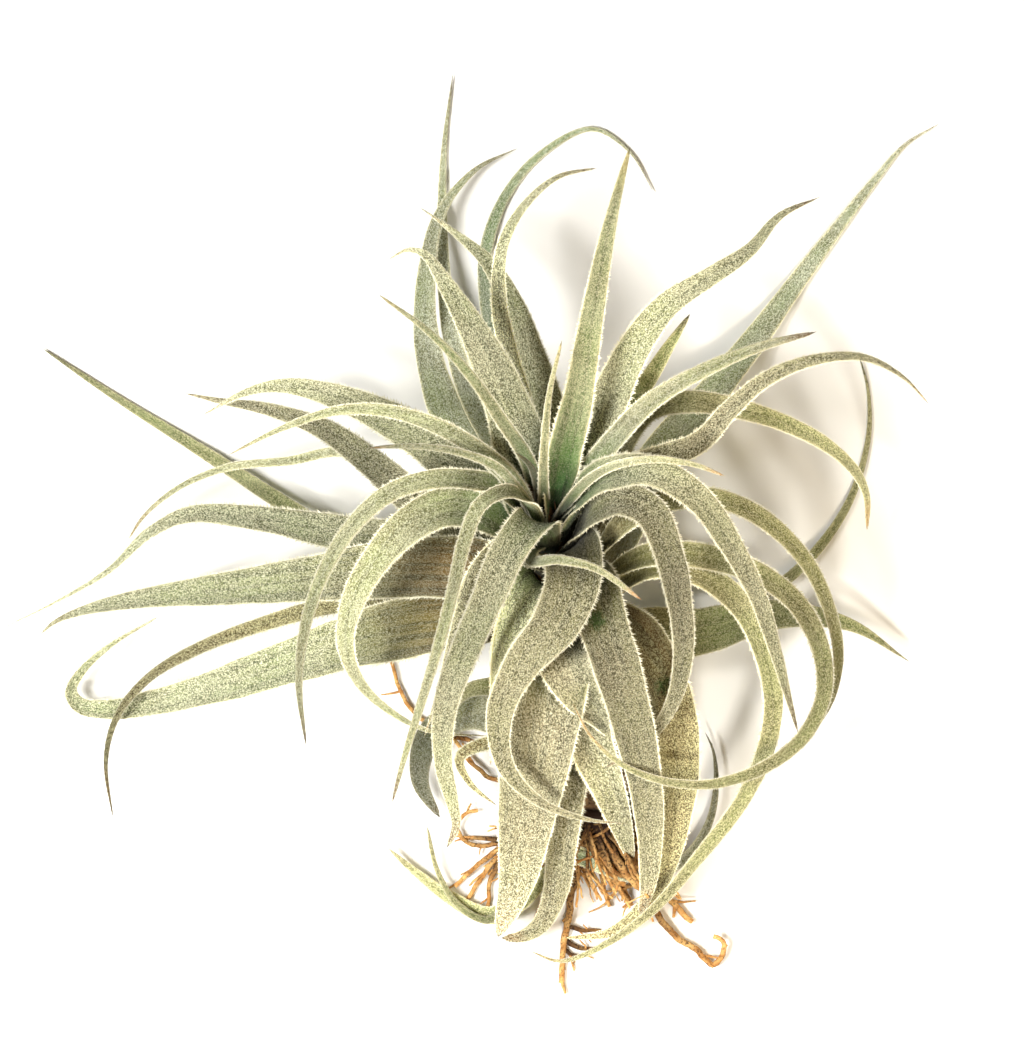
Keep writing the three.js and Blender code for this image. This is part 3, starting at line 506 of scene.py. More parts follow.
        (555, 835, 14), (600, 864, 12), (645, 876, 9), (685, 858, 4), (708, 825, 4), (716, 785, 4),
        (713, 750, 4), (705, 732, 5)]),
    "old_leaf_08": dict(look="bare", base=26, width=2.6, taper=0.4, light=(0.3, 0.35, 1.2), path=[
        (555, 800, 13), (520, 880, 7), (490, 920, 5), (458, 905, 5), (437, 870, 5), (427, 826, 6)]),
    "old_leaf_09": dict(look="bare", base=24, width=8, taper=0.65, light=(0.9, 1.6, 1.5), path=[
        (560, 806, 9), (545, 862, 5), (520, 900, 4), (490, 916, 3), (450, 898, 3), (415, 872, 3),
        (388, 848, 4)]),
}

# A leaf in mm and degrees; shares run from 0 at the base to 1 at the tip. Near the stem the leaf is darkened
# by painted shade, from its darkest share out to none over a span in mm.
bladeForm = dict(thickness=1.1, tipThickness=0.7, baseBend=52, tipBend=30, bendFades=2.5, sheathWidth=0.45,
                 sheathEnds=0.2, facing=0.8, facingBy=0.3, fullness=1.12, ringEvery=1.7, fewestRings=24,
                 across=13, lowestTip=0.3, widthWander=0.03, widthWave=6, marginWander=0.05,
                 marginWave=3.5, mossSpot=2.8, creviceShade=(6, 24), youngLooks=("fresh", "lime"),
                 youngReach=0.5, reach=0.4, youngDeepestShade=0.5, deepestShade=0.4, dryTip=0.9, greyTip=0.6,
                 hairsForward=0.5, hairsUp=0.25)


def newMesh(name, points, faces, edges=()):
    mesh = bpy.data.meshes.new(name)
    mesh.from_pydata(np.asarray(points).tolist(), edges, faces)
    mesh.polygons.foreach_set("use_smooth", [True] * len(faces))
    return mesh


def newObject(name, data):
    item = bpy.data.objects.new(name, data)
    bpy.context.scene.collection.objects.link(item)
    return item


def storeValues(mesh, key, values, kind="FLOAT", domain="POINT"):
    field = "vector" if kind == "FLOAT_VECTOR" else "value"
    flat = np.asarray(values, bool if kind == "BOOLEAN" else np.float32).ravel()
    mesh.attributes.new(key, kind, domain).data.foreach_set(field, flat)


def edgeEnds(mesh):
    ends = np.zeros(len(mesh.edges) * 2, np.int32)
    mesh.edges.foreach_get("vertices", ends)
    return ends.reshape(-1, 2)


# Four-sided faces between rings of points, each ring closed on itself.
def ringFaces(ringCount, size):
    i, j = np.meshgrid(np.arange(ringCount - 1), np.arange(size), indexing="ij")
    a, b = (i * size + j).ravel(), (i * size + (j + 1) % size).ravel()
    return np.stack([a, b, b + size, a + size], axis=1).tolist()


# One value, or a few spaced evenly from base to tip, as a value for each point of a leaf.
def spread(given, t, size, factor=1.0):
    few = np.atleast_1d(np.array(given, float))
    return np.append(np.repeat(np.interp(t, np.linspace(0, 1, len(few)), few) * factor, size), few[-1])


# A slow wander along a leaf, about -1 to 1, drawn once for each leaf.
def wander(lengths, draw, wavelength):
    total = np.zeros_like(lengths)
    for k in range(3):
        total += math.cos(draw.uniform(0, 6.3)) * np.sin(lengths / (wavelength * mm) * (1 + 0.7 * k)
                                                        + draw.uniform(0, 6.3))
    return total / 2


# The middle line of a leaf and its own axes at each ring. Rings stop before the tip, which is one point.
def bladeAxes(row):
    form = bladeForm
    start = onAxis(row["base"] * mm)
    path = [start] + [placeOf(p) for p in row["path"]]
    length = smoothLine(path, 2)[1]
    count = max(form["fewestRings"], int(length / (form["ringEvery"] * mm)))
    middle = smoothLine(path, count)[0]
    t = np.linspace(0, 1, count)
    along = unit(np.gradient(middle, axis=0))
    aroundStem = unit(np.cross(stemAxis, path[1] - start))
    if np.cross(along[int(0.3 * count)], aroundStem)[2] < 0:
        aroundStem = -aroundStem
    skyward = (row.get("facing", form["facing"]) * smoothStep(t, 0, form["facingBy"]))[:, None]
    upper = unit(np.cross(along, aroundStem)) * (1 - skyward) + np.array([0, 0, 1]) * skyward
    upper = unit(upper - along * (upper * along).sum(1, keepdims=True))
    tip = np.append(middle[-1][:2], max(middle[-1][2], form["lowestTip"] * mm))
    return length, tip, [a[:-1] for a in (t, middle, along, upper, np.cross(along, upper))]


# Rings round a channelled blade: its upper face from side to side, then back along the lower one.
def bladeRings(row, draw, length, t, middle, upper, side):
    form, lengths = bladeForm, t * length
    sheath = form["sheathWidth"] + (1 - form["sheathWidth"]) * smoothStep(t, 0, form["sheathEnds"])
    half = row["width"] * mm / 2 * sheath * (1 - t) ** row["taper"] * form["fullness"]
    half = half * (1 + form["widthWander"] * wander(lengths, draw, form["widthWave"]))
    falling = np.minimum(1, t * form["bendFades"])
    bend = np.radians(form["baseBend"] + (form["tipBend"] - form["baseBend"]) * falling)
    share = np.sin(np.linspace(-math.pi / 2, math.pi / 2, form["across"]))
    turned = bend[:, None] * share[None, :]
    x = half[:, None] * np.sin(turned) / np.sin(bend)[:, None]
    y = half[:, None] * (0.6 + 0.4 * np.cos(bend)[:, None] - np.cos(turned)) / np.sin(bend)[:, None]
    wave = form["marginWander"] * (half + 0.5 * mm)
    for edge in (share, -share):
        height = wave * wander(lengths, draw, form["marginWave"])
        y += height[:, None] * (np.maximum(edge, 0) ** 3)[None, :]
    thick = (form["thickness"] + (form["tipThickness"] - form["thickness"]) * t) * mm / 2
    body = thick[:, None] * np.sqrt(1 - np.abs(share) ** 3)[None, :]
    surface = middle[:, None, :] + side[:, None, :] * x[:, :, None]
    top = surface + upper[:, None, :] * (y + body)[:, :, None]
    low = surface + upper[:, None, :] * (y - body)[:, :, None]
    rings = np.concatenate([top, low[:, -2:0:-1]], axis=1)
    rings[:, :, 2] += np.maximum(0, -rings[:, :, 2].min(axis=1))[:, None]
    return rings, half, share


def bladeFaces(ringCount, size, n):
    last, tipIndex = (ringCount - 1) * size, ringCount * size
    faces = ringFaces(ringCount, size)
    faces += [[last + k, last + (k + 1) % size, tipIndex] for k in range(size)]
    faces += [[k, (size - k) % size, size - k - 1, k + 1] for k in range(1, n - 2)]
    return faces + [[0, size - 1, 1], [n - 2, n, n - 1]]


# A leaf with what its finish and hairs read: shares along and across, the side, which way things grow.
def buildLeafMesh(name, row):
    form, draw = bladeForm, random.Random(name)
    length, tip, (t, middle, along, upper, side) = bladeAxes(row)
    rings, half, share = bladeRings(row, draw, length, t, middle, upper, side)
    ringCount, size = rings.shape[:2]
    n, tipIndex, lengths = form["across"], ringCount * size, t * length
    points = np.vstack([rings.reshape(-1, 3), tip])
    mesh = newMesh(name, points, bladeFaces(ringCount, size, n))

    shareRing = np.concatenate([share, share[-2:0:-1]])
    underRing = np.concatenate([np.zeros(n), np.ones(size - n)])
    underRing[[0, n - 1]] = 0.5
    young = row["look"] in form["youngLooks"]
    reach = row.get("reach", form["youngReach" if young else "reach"])
    # Painted shade between the crowded leaf bases: darkest at the stem, fading out between 6 and 24 mm along
    # the leaf.
    deepestShade = form["youngDeepestShade" if young else "deepestShade"]
    creviceShade = deepestShade + (1 - deepestShade) * smoothStep(lengths, *(np.array(form["creviceShade"]) * mm))
    moss = np.zeros(tipIndex + 1)
    for spot in row.get("moss", []):
        gap = np.linalg.norm((points - placeOf(spot))[:, :2], axis=1) / mm
        moss += np.exp(-(gap / form["mossSpot"]) ** 2)
    values = {
        "along": np.append(np.repeat(t, size), 1.0),
        "nearBase": np.append(np.repeat(1 - smoothStep(t, 0.3 * reach, reach), size), 0.0),
        # Painted light and shade along the leaf, with its own paleness, times the painted shade near the
        # stem.
        "lightAndShade": spread(row.get("light", 1.0), t, size, creviceShade),
        "warmth": spread(row.get("warm", 0.0), t, size),
        "rimGap": np.append(((1 - np.abs(shareRing))[None, :] * half[:, None]).ravel() / mm, 0.0),
        "under": np.append(np.tile(underRing, ringCount), 0.5),
        "dry": np.full(tipIndex + 1, form["dryTip"] if row.get("tip") else form["greyTip"]),
        "moss": moss,
    }
    for key, value in values.items():
        storeValues(mesh, key, value)
    aims = np.repeat(along[:, None, :], size, axis=1)
    outward = side[:, None, :] * np.sign(shareRing)[None, :, None] + aims * form["hairsForward"]
    outward += upper[:, None, :] * form["hairsUp"]
    for key, value in (("growth", aims), ("outward", outward)):
        storeValues(mesh, key, np.vstack([unit(value).reshape(-1, 3), along[-1:]]), "FLOAT_VECTOR")
    ends = edgeEnds(mesh)
    places = ends % size
    rim = (places[:, 0] == places[:, 1]) & np.isin(places[:, 0], (0, n - 1)) & (ends < tipIndex).all(1)
    storeValues(mesh, "rim", rim, "BOOLEAN", "EDGE")

    # The leaf laid flat, in metres, for its ridges and grain.
    corners = np.zeros(len(mesh.loops), np.int32)
    mesh.loops.foreach_get("vertex_index", corners)
    plan = np.stack([np.append((shareRing[None, :] * half[:, None]).ravel(), 0.0),
                     np.append(np.repeat(lengths, size), length)], 1)
    layer = mesh.uv_layers.new(name="bladePlan")
    layer.data.foreach_set("uv", plan[corners].astype(np.float32).ravel())
    return mesh


# Felt and fringe, in mm and per square metre: scales scattered over a leaf and hairs along its margins.
feltForm = dict(scalesPerArea=3.2e6, scaleLength=0.45, scaleWidth=0.08, scaleLift=0.35, underShare=0.5,
                fringeEvery=0.42, fringeLength=0.95, fringeWidth=0.25, tipShare=0.25, leastFringe=0.35,
                fullWidth=9, fanOut=0.4, lengths=(0.4, 1.3), baldLooks=("bare", "slate"), baldShare=0.4)


# A tree that grows things on a body: named inputs with where each starts, and the finish last.
def newGrowth(name, body, inputs):
    tree = bpy.data.node_groups.new(name, "GeometryNodeTree")
    for direction in ("INPUT", "OUTPUT"):
        tree.interface.new_socket(name=body, in_out=direction, socket_type="NodeSocketGeometry")
    kinds = {float: "NodeSocketFloat", int: "NodeSocketInt", tuple: "NodeSocketVector"}
    for key, value in inputs.items():
        socket = tree.interface.new_socket(name=key, in_out="INPUT", socket_type=kinds[type(value)])
        socket.default_value = value
    tree.interface.new_socket(name="Finish", in_out="INPUT", socket_type="NodeSocketMaterial")
    return tree, tree.nodes.new("NodeGroupInput").outputs


def joinParts(tree, parts):
    joined = tree.nodes.new("GeometryNodeJoinGeometry")
    for part in parts:
        tree.links.new(part, joined.inputs[0])
    return joined.outputs[0]


def endGrowth(tree, given, grown):
    whole = fromNode(tree, "GeometryNodeRealizeInstances", {"Geometry": grown})
    finished = fromNode(tree, "GeometryNodeSetMaterial", {"Geometry": whole, "Material": given["Finish"]})
    tree.links.new(finished, tree.nodes.new("NodeGroupOutput").inputs[0])
    return tree


def namedField(tree, name, kind="FLOAT"):
    return fromNode(tree, "GeometryNodeInputNamedAttribute", {"Name": name}, data_type=kind)


def randomField(tree, low, high, seed, kind="FLOAT"):
    first, second, result = (2, 3, 1) if kind == "FLOAT" else (0, 1, 0)
    return addNode(tree, "FunctionNodeRandomValue", {first: low, second: high, "Seed": seed},
                   data_type=kind).outputs[result]


def vectorMaths(tree, operation, first, second=(0, 0, 0)):
    key = "Scale" if operation == "SCALE" else 1
    return fromNode(tree, "ShaderNodeVectorMath", {0: first, key: second}, operation=operation)


def combine(tree, x, y, z):
    return fromNode(tree, "ShaderNodeCombineXYZ", {0: x, 1: y, 2: z})


def moved(tree, geometry, how, field):
    return fromNode(tree, "GeometryNodeSetPosition", {"Geometry": geometry, how: field})


def edgesToCurve(tree, geometry, mark, step):
    curve = fromNode(tree, "GeometryNodeMeshToCurve", {
        "Mesh": geometry, "Selection": namedField(tree, mark, "BOOLEAN")})
    return fromNode(tree, "GeometryNodeResampleCurve", {"Curve": curve, "Length": step}, mode="LENGTH")


# Copies of a part on points, with named values for each copy.
def copyOnto(tree, points, part, turn, size, values):
    copies = fromNode(tree, "GeometryNodeInstanceOnPoints", {
        "Points": points, "Instance": part, "Rotation": turn, "Scale": size})
    for name, value in values.items():
        copies = fromNode(tree, "GeometryNodeStoreNamedAttribute", {
            "Geometry": copies, "Name": name, "Value": value}, data_type="FLOAT", domain="INSTANCE")
    return copies


# Thin three-sided spikes on points, aimed along a field, each with its own shade.
def plantSpikes(tree, points, aim, length, width, seed, mark):
    spike = fromNode(tree, "GeometryNodeMeshCone", {
        "Vertices": 3, "Side Segments": 1, "Radius Top": 0.0, "Radius Bottom": 1.0, "Depth": 1.0})
    fan = feltForm["fanOut"]
    aimed = vectorMaths(tree, "ADD", aim, randomField(tree, (-fan,) * 3, (fan,) * 3, seed, "FLOAT_VECTOR"))
    turn = fromNode(tree, "FunctionNodeAlignRotationToVector", {"Vector": aimed}, axis="Z")
    longer = product(tree, length, randomField(tree, *feltForm["lengths"], seed))
    return copyOnto(tree, points, spike, turn, combine(tree, width, width, longer), {
        "speck": randomField(tree, 0.0, 1.0, seed), mark: 1.0})


def buildLeafFelt():
    form = feltForm
    tree, given = newGrowth("leafFelt", "Leaf", {
        "Scales per area": 2e6, "Scale length": 0.0005, "Scale width": 0.0001, "Fringe every": 0.0006,
        "Fringe length": 0.001, "Fringe width": 0.0001, "Seed": 1})
    sparser = ramp(tree, namedField(tree, "under"), 0.0, 1.0, 1.0, form["underShare"])
    scattered = addNode(tree, "GeometryNodeDistributePointsOnFaces", {
        "Mesh": given["Leaf"], "Density": product(tree, given["Scales per area"], sparser),
        "Seed": given["Seed"]}).outputs
    lift = vectorMaths(tree, "SCALE", scattered["Normal"], form["scaleLift"])
    lean = vectorMaths(tree, "ADD", namedField(tree, "growth", "FLOAT_VECTOR"), lift)
    scales = plantSpikes(tree, scattered["Points"], lean, given["Scale length"], given["Scale width"],
                         given["Seed"], "hair")
    spaced = edgesToCurve(tree, given["Leaf"], "rim", given["Fringe every"])
    towardsTip = ramp(tree, namedField(tree, "along"), 0.35, 1.0, 1.0, form["tipShare"])
    fringe = plantSpikes(tree, spaced, namedField(tree, "outward", "FLOAT_VECTOR"),
                         product(tree, given["Fringe length"], towardsTip), given["Fringe width"],
                         maths(tree, "ADD", given["Seed"], 7), "fringe")
    return endGrowth(tree, given, joinParts(tree, (fringe, scales, given["Leaf"])))


# Runs a tree on a mesh and gives back the result as a plain object at the origin.
def growObject(name, mesh, tree, inputs):
    piece = newObject(name, mesh)
    modifier = piece.modifiers.new("grow", "NODES")
    modifier.node_group = tree
    identifiers = {socket.name: socket.identifier for socket in tree.interface.items_tree
                   if socket.in_out == "INPUT"}
    for key, value in inputs.items():
        modifier[identifiers[key]] = value
    grown = bpy.data.meshes.new_from_object(piece.evaluated_get(bpy.context.evaluated_depsgraph_get()))
    piece.modifiers.remove(modifier)
    piece.data = grown
    grown.name = name
    return piece


leafFelt = buildLeafFelt()
finishes = {}
triangles = 0
for number, (name, row) in enumerate(leafRows.items()):
    look, tip = row["look"], row.get("tip")
    finishName = look + "Leaf" + (tip.capitalize() + "Tip" if tip else "")
    if finishName not in finishes:
        finishes[finishName] = buildLeafFinish(finishName, look, tip)
    sparse = feltForm["baldShare"] if look in feltForm["baldLooks"] else 1.0
    narrow = min(1.0, row["width"] / feltForm["fullWidth"])
    fringeShare = (feltForm["leastFringe"] + (1 - feltForm["leastFringe"]) * narrow) * sparse
    piece = growObject(name + "_felted", buildLeafMesh(name, row), leafFelt, {
        "Scales per area": feltForm["scalesPerArea"] * sparse,
        "Scale length": feltForm["scaleLength"] * mm, "Scale width": feltForm["scaleWidth"] * mm,
        "Fringe every": feltForm["fringeEvery"] * mm, "Fringe width": feltForm["fringeWidth"] * mm,
        "Fringe length": feltForm["fringeLength"] * mm * fringeShare,
        "Seed": number + 1, "Finish": finishes[finishName]})
    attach(piece, "root")
    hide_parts(name)
    triangles += sum(len(face.vertices) - 2 for face in piece.data.polygons)
print("leaves ready:", len(leafRows), "with", triangles, "triangles")

# Bark and root fibre, for the stem and the roots: how fine the patches and the grain are, per metre.
fibrePattern = dict(patches=350.0, grain=1800.0, grainRoughness=0.7, furrows=(0.5, 0.64), furrowDark=0.55,
                    roughness=0.75, specular=0.3, bump=0.7)


def buildFibreGrain():
    form = fibrePattern
    tree, given = newGroup("fibreGrain", dict(
        Light=tone(190, 130, 70), Middle=tone(140, 90, 45), Dark=tone(60, 36, 20), Darkness=0.0))
    place = objectPlace(tree)
    patches = cloud(tree, place, form["patches"], 4.0)
    fine = cloud(tree, place, form["grain"], 3.0, form["grainRoughness"])
    color = blend(tree, ramp(tree, patches, 0.38, 0.62), given["Middle"], given["Light"])
    furrows = ramp(tree, fine, *form["furrows"], 0.0, form["furrowDark"])
    darkness = fromNode(tree, "ShaderNodeClamp", {0: maths(tree, "ADD", given["Darkness"], furrows)})
    return endGroup(tree, blend(tree, darkness, color, given["Dark"]), maths(tree, "ADD", patches, fine))


fibreGrain = buildFibreGrain()


def buildFibreFinish(name, light, middle, dark, bumpDepth):
    form = fibrePattern
    material, tree, shader = newMaterial(name, form["roughness"], form["specular"])
    grain = useGroup(tree, fibreGrain, dict(
        Light=tone(*light), Middle=tone(*middle), Dark=tone(*dark), Darkness=readShare(tree, "shade")))
    paint(tree, shader, grain["Color"], grain["Height"], form["bump"], bumpDepth * mm)
    return material


# Stem, in mm: a woody cone ringed with scars, wrapped in the dry sheaths of leaves that fell.
stemForm = dict(footRadius=9.5, crownRadius=2.6, start=7, scarPitch=7, scarDepth=0.8, scarWidth=1.2,
                scarShade=1.0, lumps=0.5, lumpsPerMetre=450, sides=72, rows=180, sheaths=64,
                sheathLength=9, sheathWidth=8, sheathArch=4, sheathLift=1.2, sheathThickness=0.3,
                sheathSunk=0.97, turn=137.5, smallest=(0.8, 0.7, 0.7), largest=(1.0, 1.1, 1.3),
                darkest=0.5, seed=3)


def radiusAt(along):
    share = np.clip(along / stemLength, 0, 1)
    return (stemForm["footRadius"] + (stemForm["crownRadius"] - stemForm["footRadius"]) * share) * mm


# A lumpy closed body round the stem's axis.
def turnedGrid(alongs, radii, sides, lumps):
    cross = unit(np.cross(stemAxis, [0, 0, 1]))
    up = np.cross(cross, stemAxis)
    angles = np.linspace(0, 2 * math.pi, sides, endpoint=False)
    around = np.cos(angles)[:, None] * cross + np.sin(angles)[:, None] * up
    rings = onAxis(0) + stemAxis * alongs[:, None, None] + around[None] * radii[:, None, None]
    flat = rings.reshape(-1, 3)
    wobble = np.array([noise.noise(Vector(p) * stemForm["lumpsPerMetre"]) for p in flat])[:, None]
    flat += wobble * lumps * mm * np.tile(around, (len(alongs), 1))
    faces = ringFaces(len(alongs), sides)
    low, high, last = len(flat), len(flat) + 1, (len(alongs) - 1) * sides
    faces += [[low, (k + 1) % sides, k] for k in range(sides)]
    faces += [[high, last + k, last + (k + 1) % sides] for k in range(sides)]
    return np.vstack([flat, [onAxis(alongs[0]), onAxis(alongs[-1])]]), faces


def buildStemMesh():
    form = stemForm
    alongs = np.linspace(form["start"] * mm, stemLength, form["rows"])
    inPitch = (alongs / mm - form["start"]) % form["scarPitch"]
    radii = radiusAt(alongs) - form["scarDepth"] * mm * np.exp(-(inPitch / form["scarWidth"]) ** 2)
    mesh = newMesh("woodyStem", *turnedGrid(alongs, radii, form["sides"], form["lumps"]))
    scarred = np.exp(-(inPitch / form["scarShade"]) ** 2)
    storeValues(mesh, "shade", np.append(np.repeat(scarred, form["sides"]), [0, 0]))
    return mesh


# A spiral of thin dry scales up the stem: each is a small arched grid, pointed at its far end.
def buildSheathSpiral():
    form = stemForm
    tree, given = newGrowth("sheathSpiral", "Stem", {
        "Scale length": 0.01, "Scale width": 0.008, "Foot radius": 0.0095, "Crown radius": 0.0026,
        "Stem start": 0.007, "Stem length": 0.09, "Scales": 60, "Seed": 1, "Foot": (0, 0, 0),
        "Axis": (0, 0, 0)})

    # One scale, with its foot at the origin, its length along +Z and its back towards +X.
    grid = fromNode(tree, "GeometryNodeMeshGrid", {
        "Size X": 1.0, "Size Y": 1.0, "Vertices X": 5, "Vertices Y": 5})
    place = addNode(tree, "ShaderNodeSeparateXYZ", {0: fromNode(tree, "GeometryNodeInputPosition")}).outputs
    up = maths(tree, "ADD", place[1], 0.5)
    across = product(tree, place[0], maths(tree, "SUBTRACT", 1.0, maths(tree, "POWER", up, 2.0)))
    arch = product(tree, product(tree, across, across), -form["sheathArch"] * mm)
    lift = maths(tree, "ADD", arch, product(tree, product(tree, up, up), form["sheathLift"] * mm))
    shaped = combine(tree, lift, product(tree, across, given["Scale width"]),
                     product(tree, up, given["Scale length"]))
    scale = moved(tree, grid, "Position", shaped)
    thick = fromNode(tree, "GeometryNodeExtrudeMesh", {
        "Mesh": scale, "Offset Scale": form["sheathThickness"] * mm, "Individual": False})
    both = joinParts(tree, (fromNode(tree, "GeometryNodeFlipFaces", {0: scale}), thick))
    closed = fromNode(tree, "GeometryNodeMergeByDistance", {0: both, "Distance": 1e-6})

    # Where they stand: up the axis, turned by the golden angle from one to the next.
    spots = fromNode(tree, "GeometryNodePoints", {"Count": given["Scales"]})
    index = fromNode(tree, "GeometryNodeInputIndex")
    share = maths(tree, "DIVIDE", index, given["Scales"])
    room = maths(tree, "SUBTRACT", given["Stem length"], given["Stem start"])
    along = maths(tree, "ADD", given["Stem start"], product(tree, share, room))
    radius = fromNode(tree, "ShaderNodeMapRange", {
        0: share, "To Min": given["Foot radius"], "To Max": given["Crown radius"]})
    turn = fromNode(tree, "FunctionNodeAxisAngleToRotation", {
        "Axis": given["Axis"], "Angle": product(tree, index, math.radians(form["turn"]))})
    square = vectorMaths(tree, "NORMALIZE", vectorMaths(tree, "CROSS_PRODUCT", given["Axis"], (0, 0, 1)))
    outward = fromNode(tree, "FunctionNodeRotateVector", {0: square, 1: turn})
    onStem = vectorMaths(tree, "ADD", given["Foot"], vectorMaths(tree, "SCALE", given["Axis"], along))
    aside = vectorMaths(tree, "SCALE", outward, product(tree, radius, form["sheathSunk"]))
    placed = moved(tree, spots, "Position", vectorMaths(tree, "ADD", onStem, aside))
    aimed = fromNode(tree, "FunctionNodeAxesToRotation", {0: given["Axis"], 1: outward},
                     primary_axis="Z", secondary_axis="X")
    size = randomField(tree, form["smallest"], form["largest"], given["Seed"], "FLOAT_VECTOR")
    copies = copyOnto(tree, placed, closed, aimed, size, {
        "shade": randomField(tree, 0.0, form["darkest"], given["Seed"])})
    return endGrowth(tree, given, joinParts(tree, (copies, given["Stem"])))


dryBark = buildFibreFinish("dryBark", (150, 118, 80), (108, 78, 50), (44, 30, 20), 0.6)
stem = growObject("woodyStem_scarred", buildStemMesh(), buildSheathSpiral(), {
    "Scale length": stemForm["sheathLength"] * mm, "Scale width": stemForm["sheathWidth"] * mm,
    "Foot radius": stemForm["footRadius"] * mm, "Crown radius": stemForm["crownRadius"] * mm,
    "Stem start": stemForm["start"] * mm, "Stem length": float(stemLength), "Scales": stemForm["sheaths"],
    "Seed": stemForm["seed"], "Foot": tuple(foot), "Axis": tuple(stemAxis), "Finish": dryBark})
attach(stem, "root")
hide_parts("stem")
print("stem ready:", len(stem.data.polygons), "faces")

# Roots: (radius in mm at the start, places from inside the root crown out to the tip).
rootRows = [
    (1.2, [(590, 840, 8), (573, 885, 5), (569, 915, 2.5), (564, 945, 1.4), (562, 984, 1.3)]),
    (0.7, [(567, 925, 2), (580, 930, 1.5), (600, 930, 1)]),
    (0.7, [(565, 940, 1.4), (580, 948, 1.2), (599, 948, 0.8)]),
    (0.6, [(564, 950, 1.4), (572, 955, 1), (586, 956, 0.8)]),
    (1.1, [(615, 835, 8), (640, 885, 5), (660, 918, 3), (675, 935, 2), (700, 953, 2), (713, 966, 2),
        (724, 950, 3), (722, 939, 4), (714, 936, 4)]),
    (1.2, [(625, 830, 8), (650, 880, 4.5), (670, 901, 2.5), (693, 922, 1.4)]),
    (1.0, [(605, 840, 10), (615, 880, 6), (632, 905, 2)]),
    (0.9, [(600, 845, 8), (603, 885, 4), (610, 906, 1.5)]),
    (0.9, [(612, 840, 8), (622, 882, 4), (630, 900, 1.5)]),
    (0.9, [(580, 830, 8), (552, 880, 3), (536, 918, 1.2)]),
    (0.9, [(575, 815, 6), (535, 822, 4), (497, 850, 3), (470, 872, 2), (455, 886, 1.2)]),
    (0.9, [(575, 820, 5), (535, 835, 3), (500, 855, 2), (463, 906, 1)]),
    (0.8, [(505, 843, 3), (485, 838, 2.5), (467, 838, 2)]),
    (0.8, [(510, 848, 2.5), (492, 875, 1.5), (488, 908, 1)]),
    (0.8, [(572, 808, 6), (520, 835, 3), (488, 846, 2), (466, 842, 2.5), (457, 828, 3), (463, 814, 3.5),
        (477, 811, 3)]),
    (0.8, [(572, 800, 7), (520, 785, 4), (488, 777, 3), (466, 756, 3), (453, 738, 3)]),
    (0.8, [(572, 795, 6), (500, 752, 3), (440, 730, 2), (410, 708, 2), (397, 680, 2), (390, 658, 2)]),
]

# Pairs are from and to, in mm and degrees. Rings of the root crown: mm up the stem, share of its foot.
rootForm = dict(tipShare=0.6, tuft=18, tuftRound=(20, 235), tuftLength=(15, 22), tuftRadius=(0.8, 1.3),
                fine=190, fineRound=(-10, 260), fineLength=(9, 24), fineRadius=(0.22, 0.6),
                leftward=(-1.0, -0.45, -0.3), rightward=(0.5, -0.85, -0.2), stray=0.28,
                branches=3, branchLength=(2, 6), branchShade=0.15, pointEvery=1.2, shadedOver=18, lift=0.15,
                wireEvery=0.9, wireSides=7, flatness=0.7, bend=1.1, lumps=0.22, crownBumps=0.8,
                bendsPerMetre=330.0, lumpsPerMetre=1100.0, crownBumpsPerMetre=900.0,
                crownSides=48, crownLumps=2.6, crownRings=(-6.2, -5.6, -4.4, -2.6, -0.8, 1.2, 3.2, 5.2, 6.4),
                crownShares=(0.25, 0.55, 0.8, 0.93, 1, 1, 0.98, 0.95, 0.8))


def drawsFrom(seed):
    state = seed
    while True:
        state = state * 16807 % 2147483647
        yield state / 2147483647


def between(limits, share):
    return limits[0] + (limits[1] - limits[0]) * share


# The direction square to the stem at so many degrees round it.
def awayFromStem(degrees):
    angle = math.radians(degrees)
    outwards = np.array([math.cos(angle), 0, math.sin(angle)])
    return unit(outwards - stemAxis * outwards.dot(stemAxis))


# The dense tuft over the root crown, the same draws as in the CAD.
def tuftRoots():
    draws, form, made = drawsFrom(7), rootForm, []
    for i in range(form["tuft"]):
        outwards = awayFromStem(between(form["tuftRound"], i / (form["tuft"] - 1)))
        start = onAxis((-1 + 6 * next(draws)) * mm) + outwards * (stemForm["footRadius"] - 1.5) * mm
        sway = np.array([0.55, -0.8, -0.25 * next(draws)])
        sway = sway * between(form["tuftLength"], next(draws)) * mm
        stray = np.array([4 * next(draws) - 2, 4 * next(draws) - 2, -6 * next(draws)]) * mm
        path = [start, start + sway * 0.45 + outwards * 3 * mm, start + sway + stray]
        made.append((between(form["tuftRadius"], next(draws)), path))
    return made


# Finer strands among them, leaving the crown all round and swept the same two ways as the stout ones.
def fineRoots(draw):
    form, made = rootForm, []
    for i in range(form["fine"]):
        outwards = awayFromStem(draw.uniform(*form["fineRound"]))
        start = onAxis(draw.uniform(-4, 7) * mm) + outwards * draw.uniform(6.5, 9.5) * mm
        sway = np.array(form["rightward"] if i % 3 else form["leftward"])
        sway = unit(sway + np.array([draw.gauss(0, form["stray"]) for _ in range(3)]))
        sway = sway * draw.uniform(*form["fineLength"]) * mm
        path = [start, start + sway * 0.45 + outwards * draw.uniform(0, 3) * mm, start + sway]
        path[2] = path[2] + np.array([draw.gauss(0, 1.2), draw.gauss(0, 1.2), -3 * draw.random()]) * mm
        made.append((draw.uniform(*form["fineRadius"]), path))
    return made


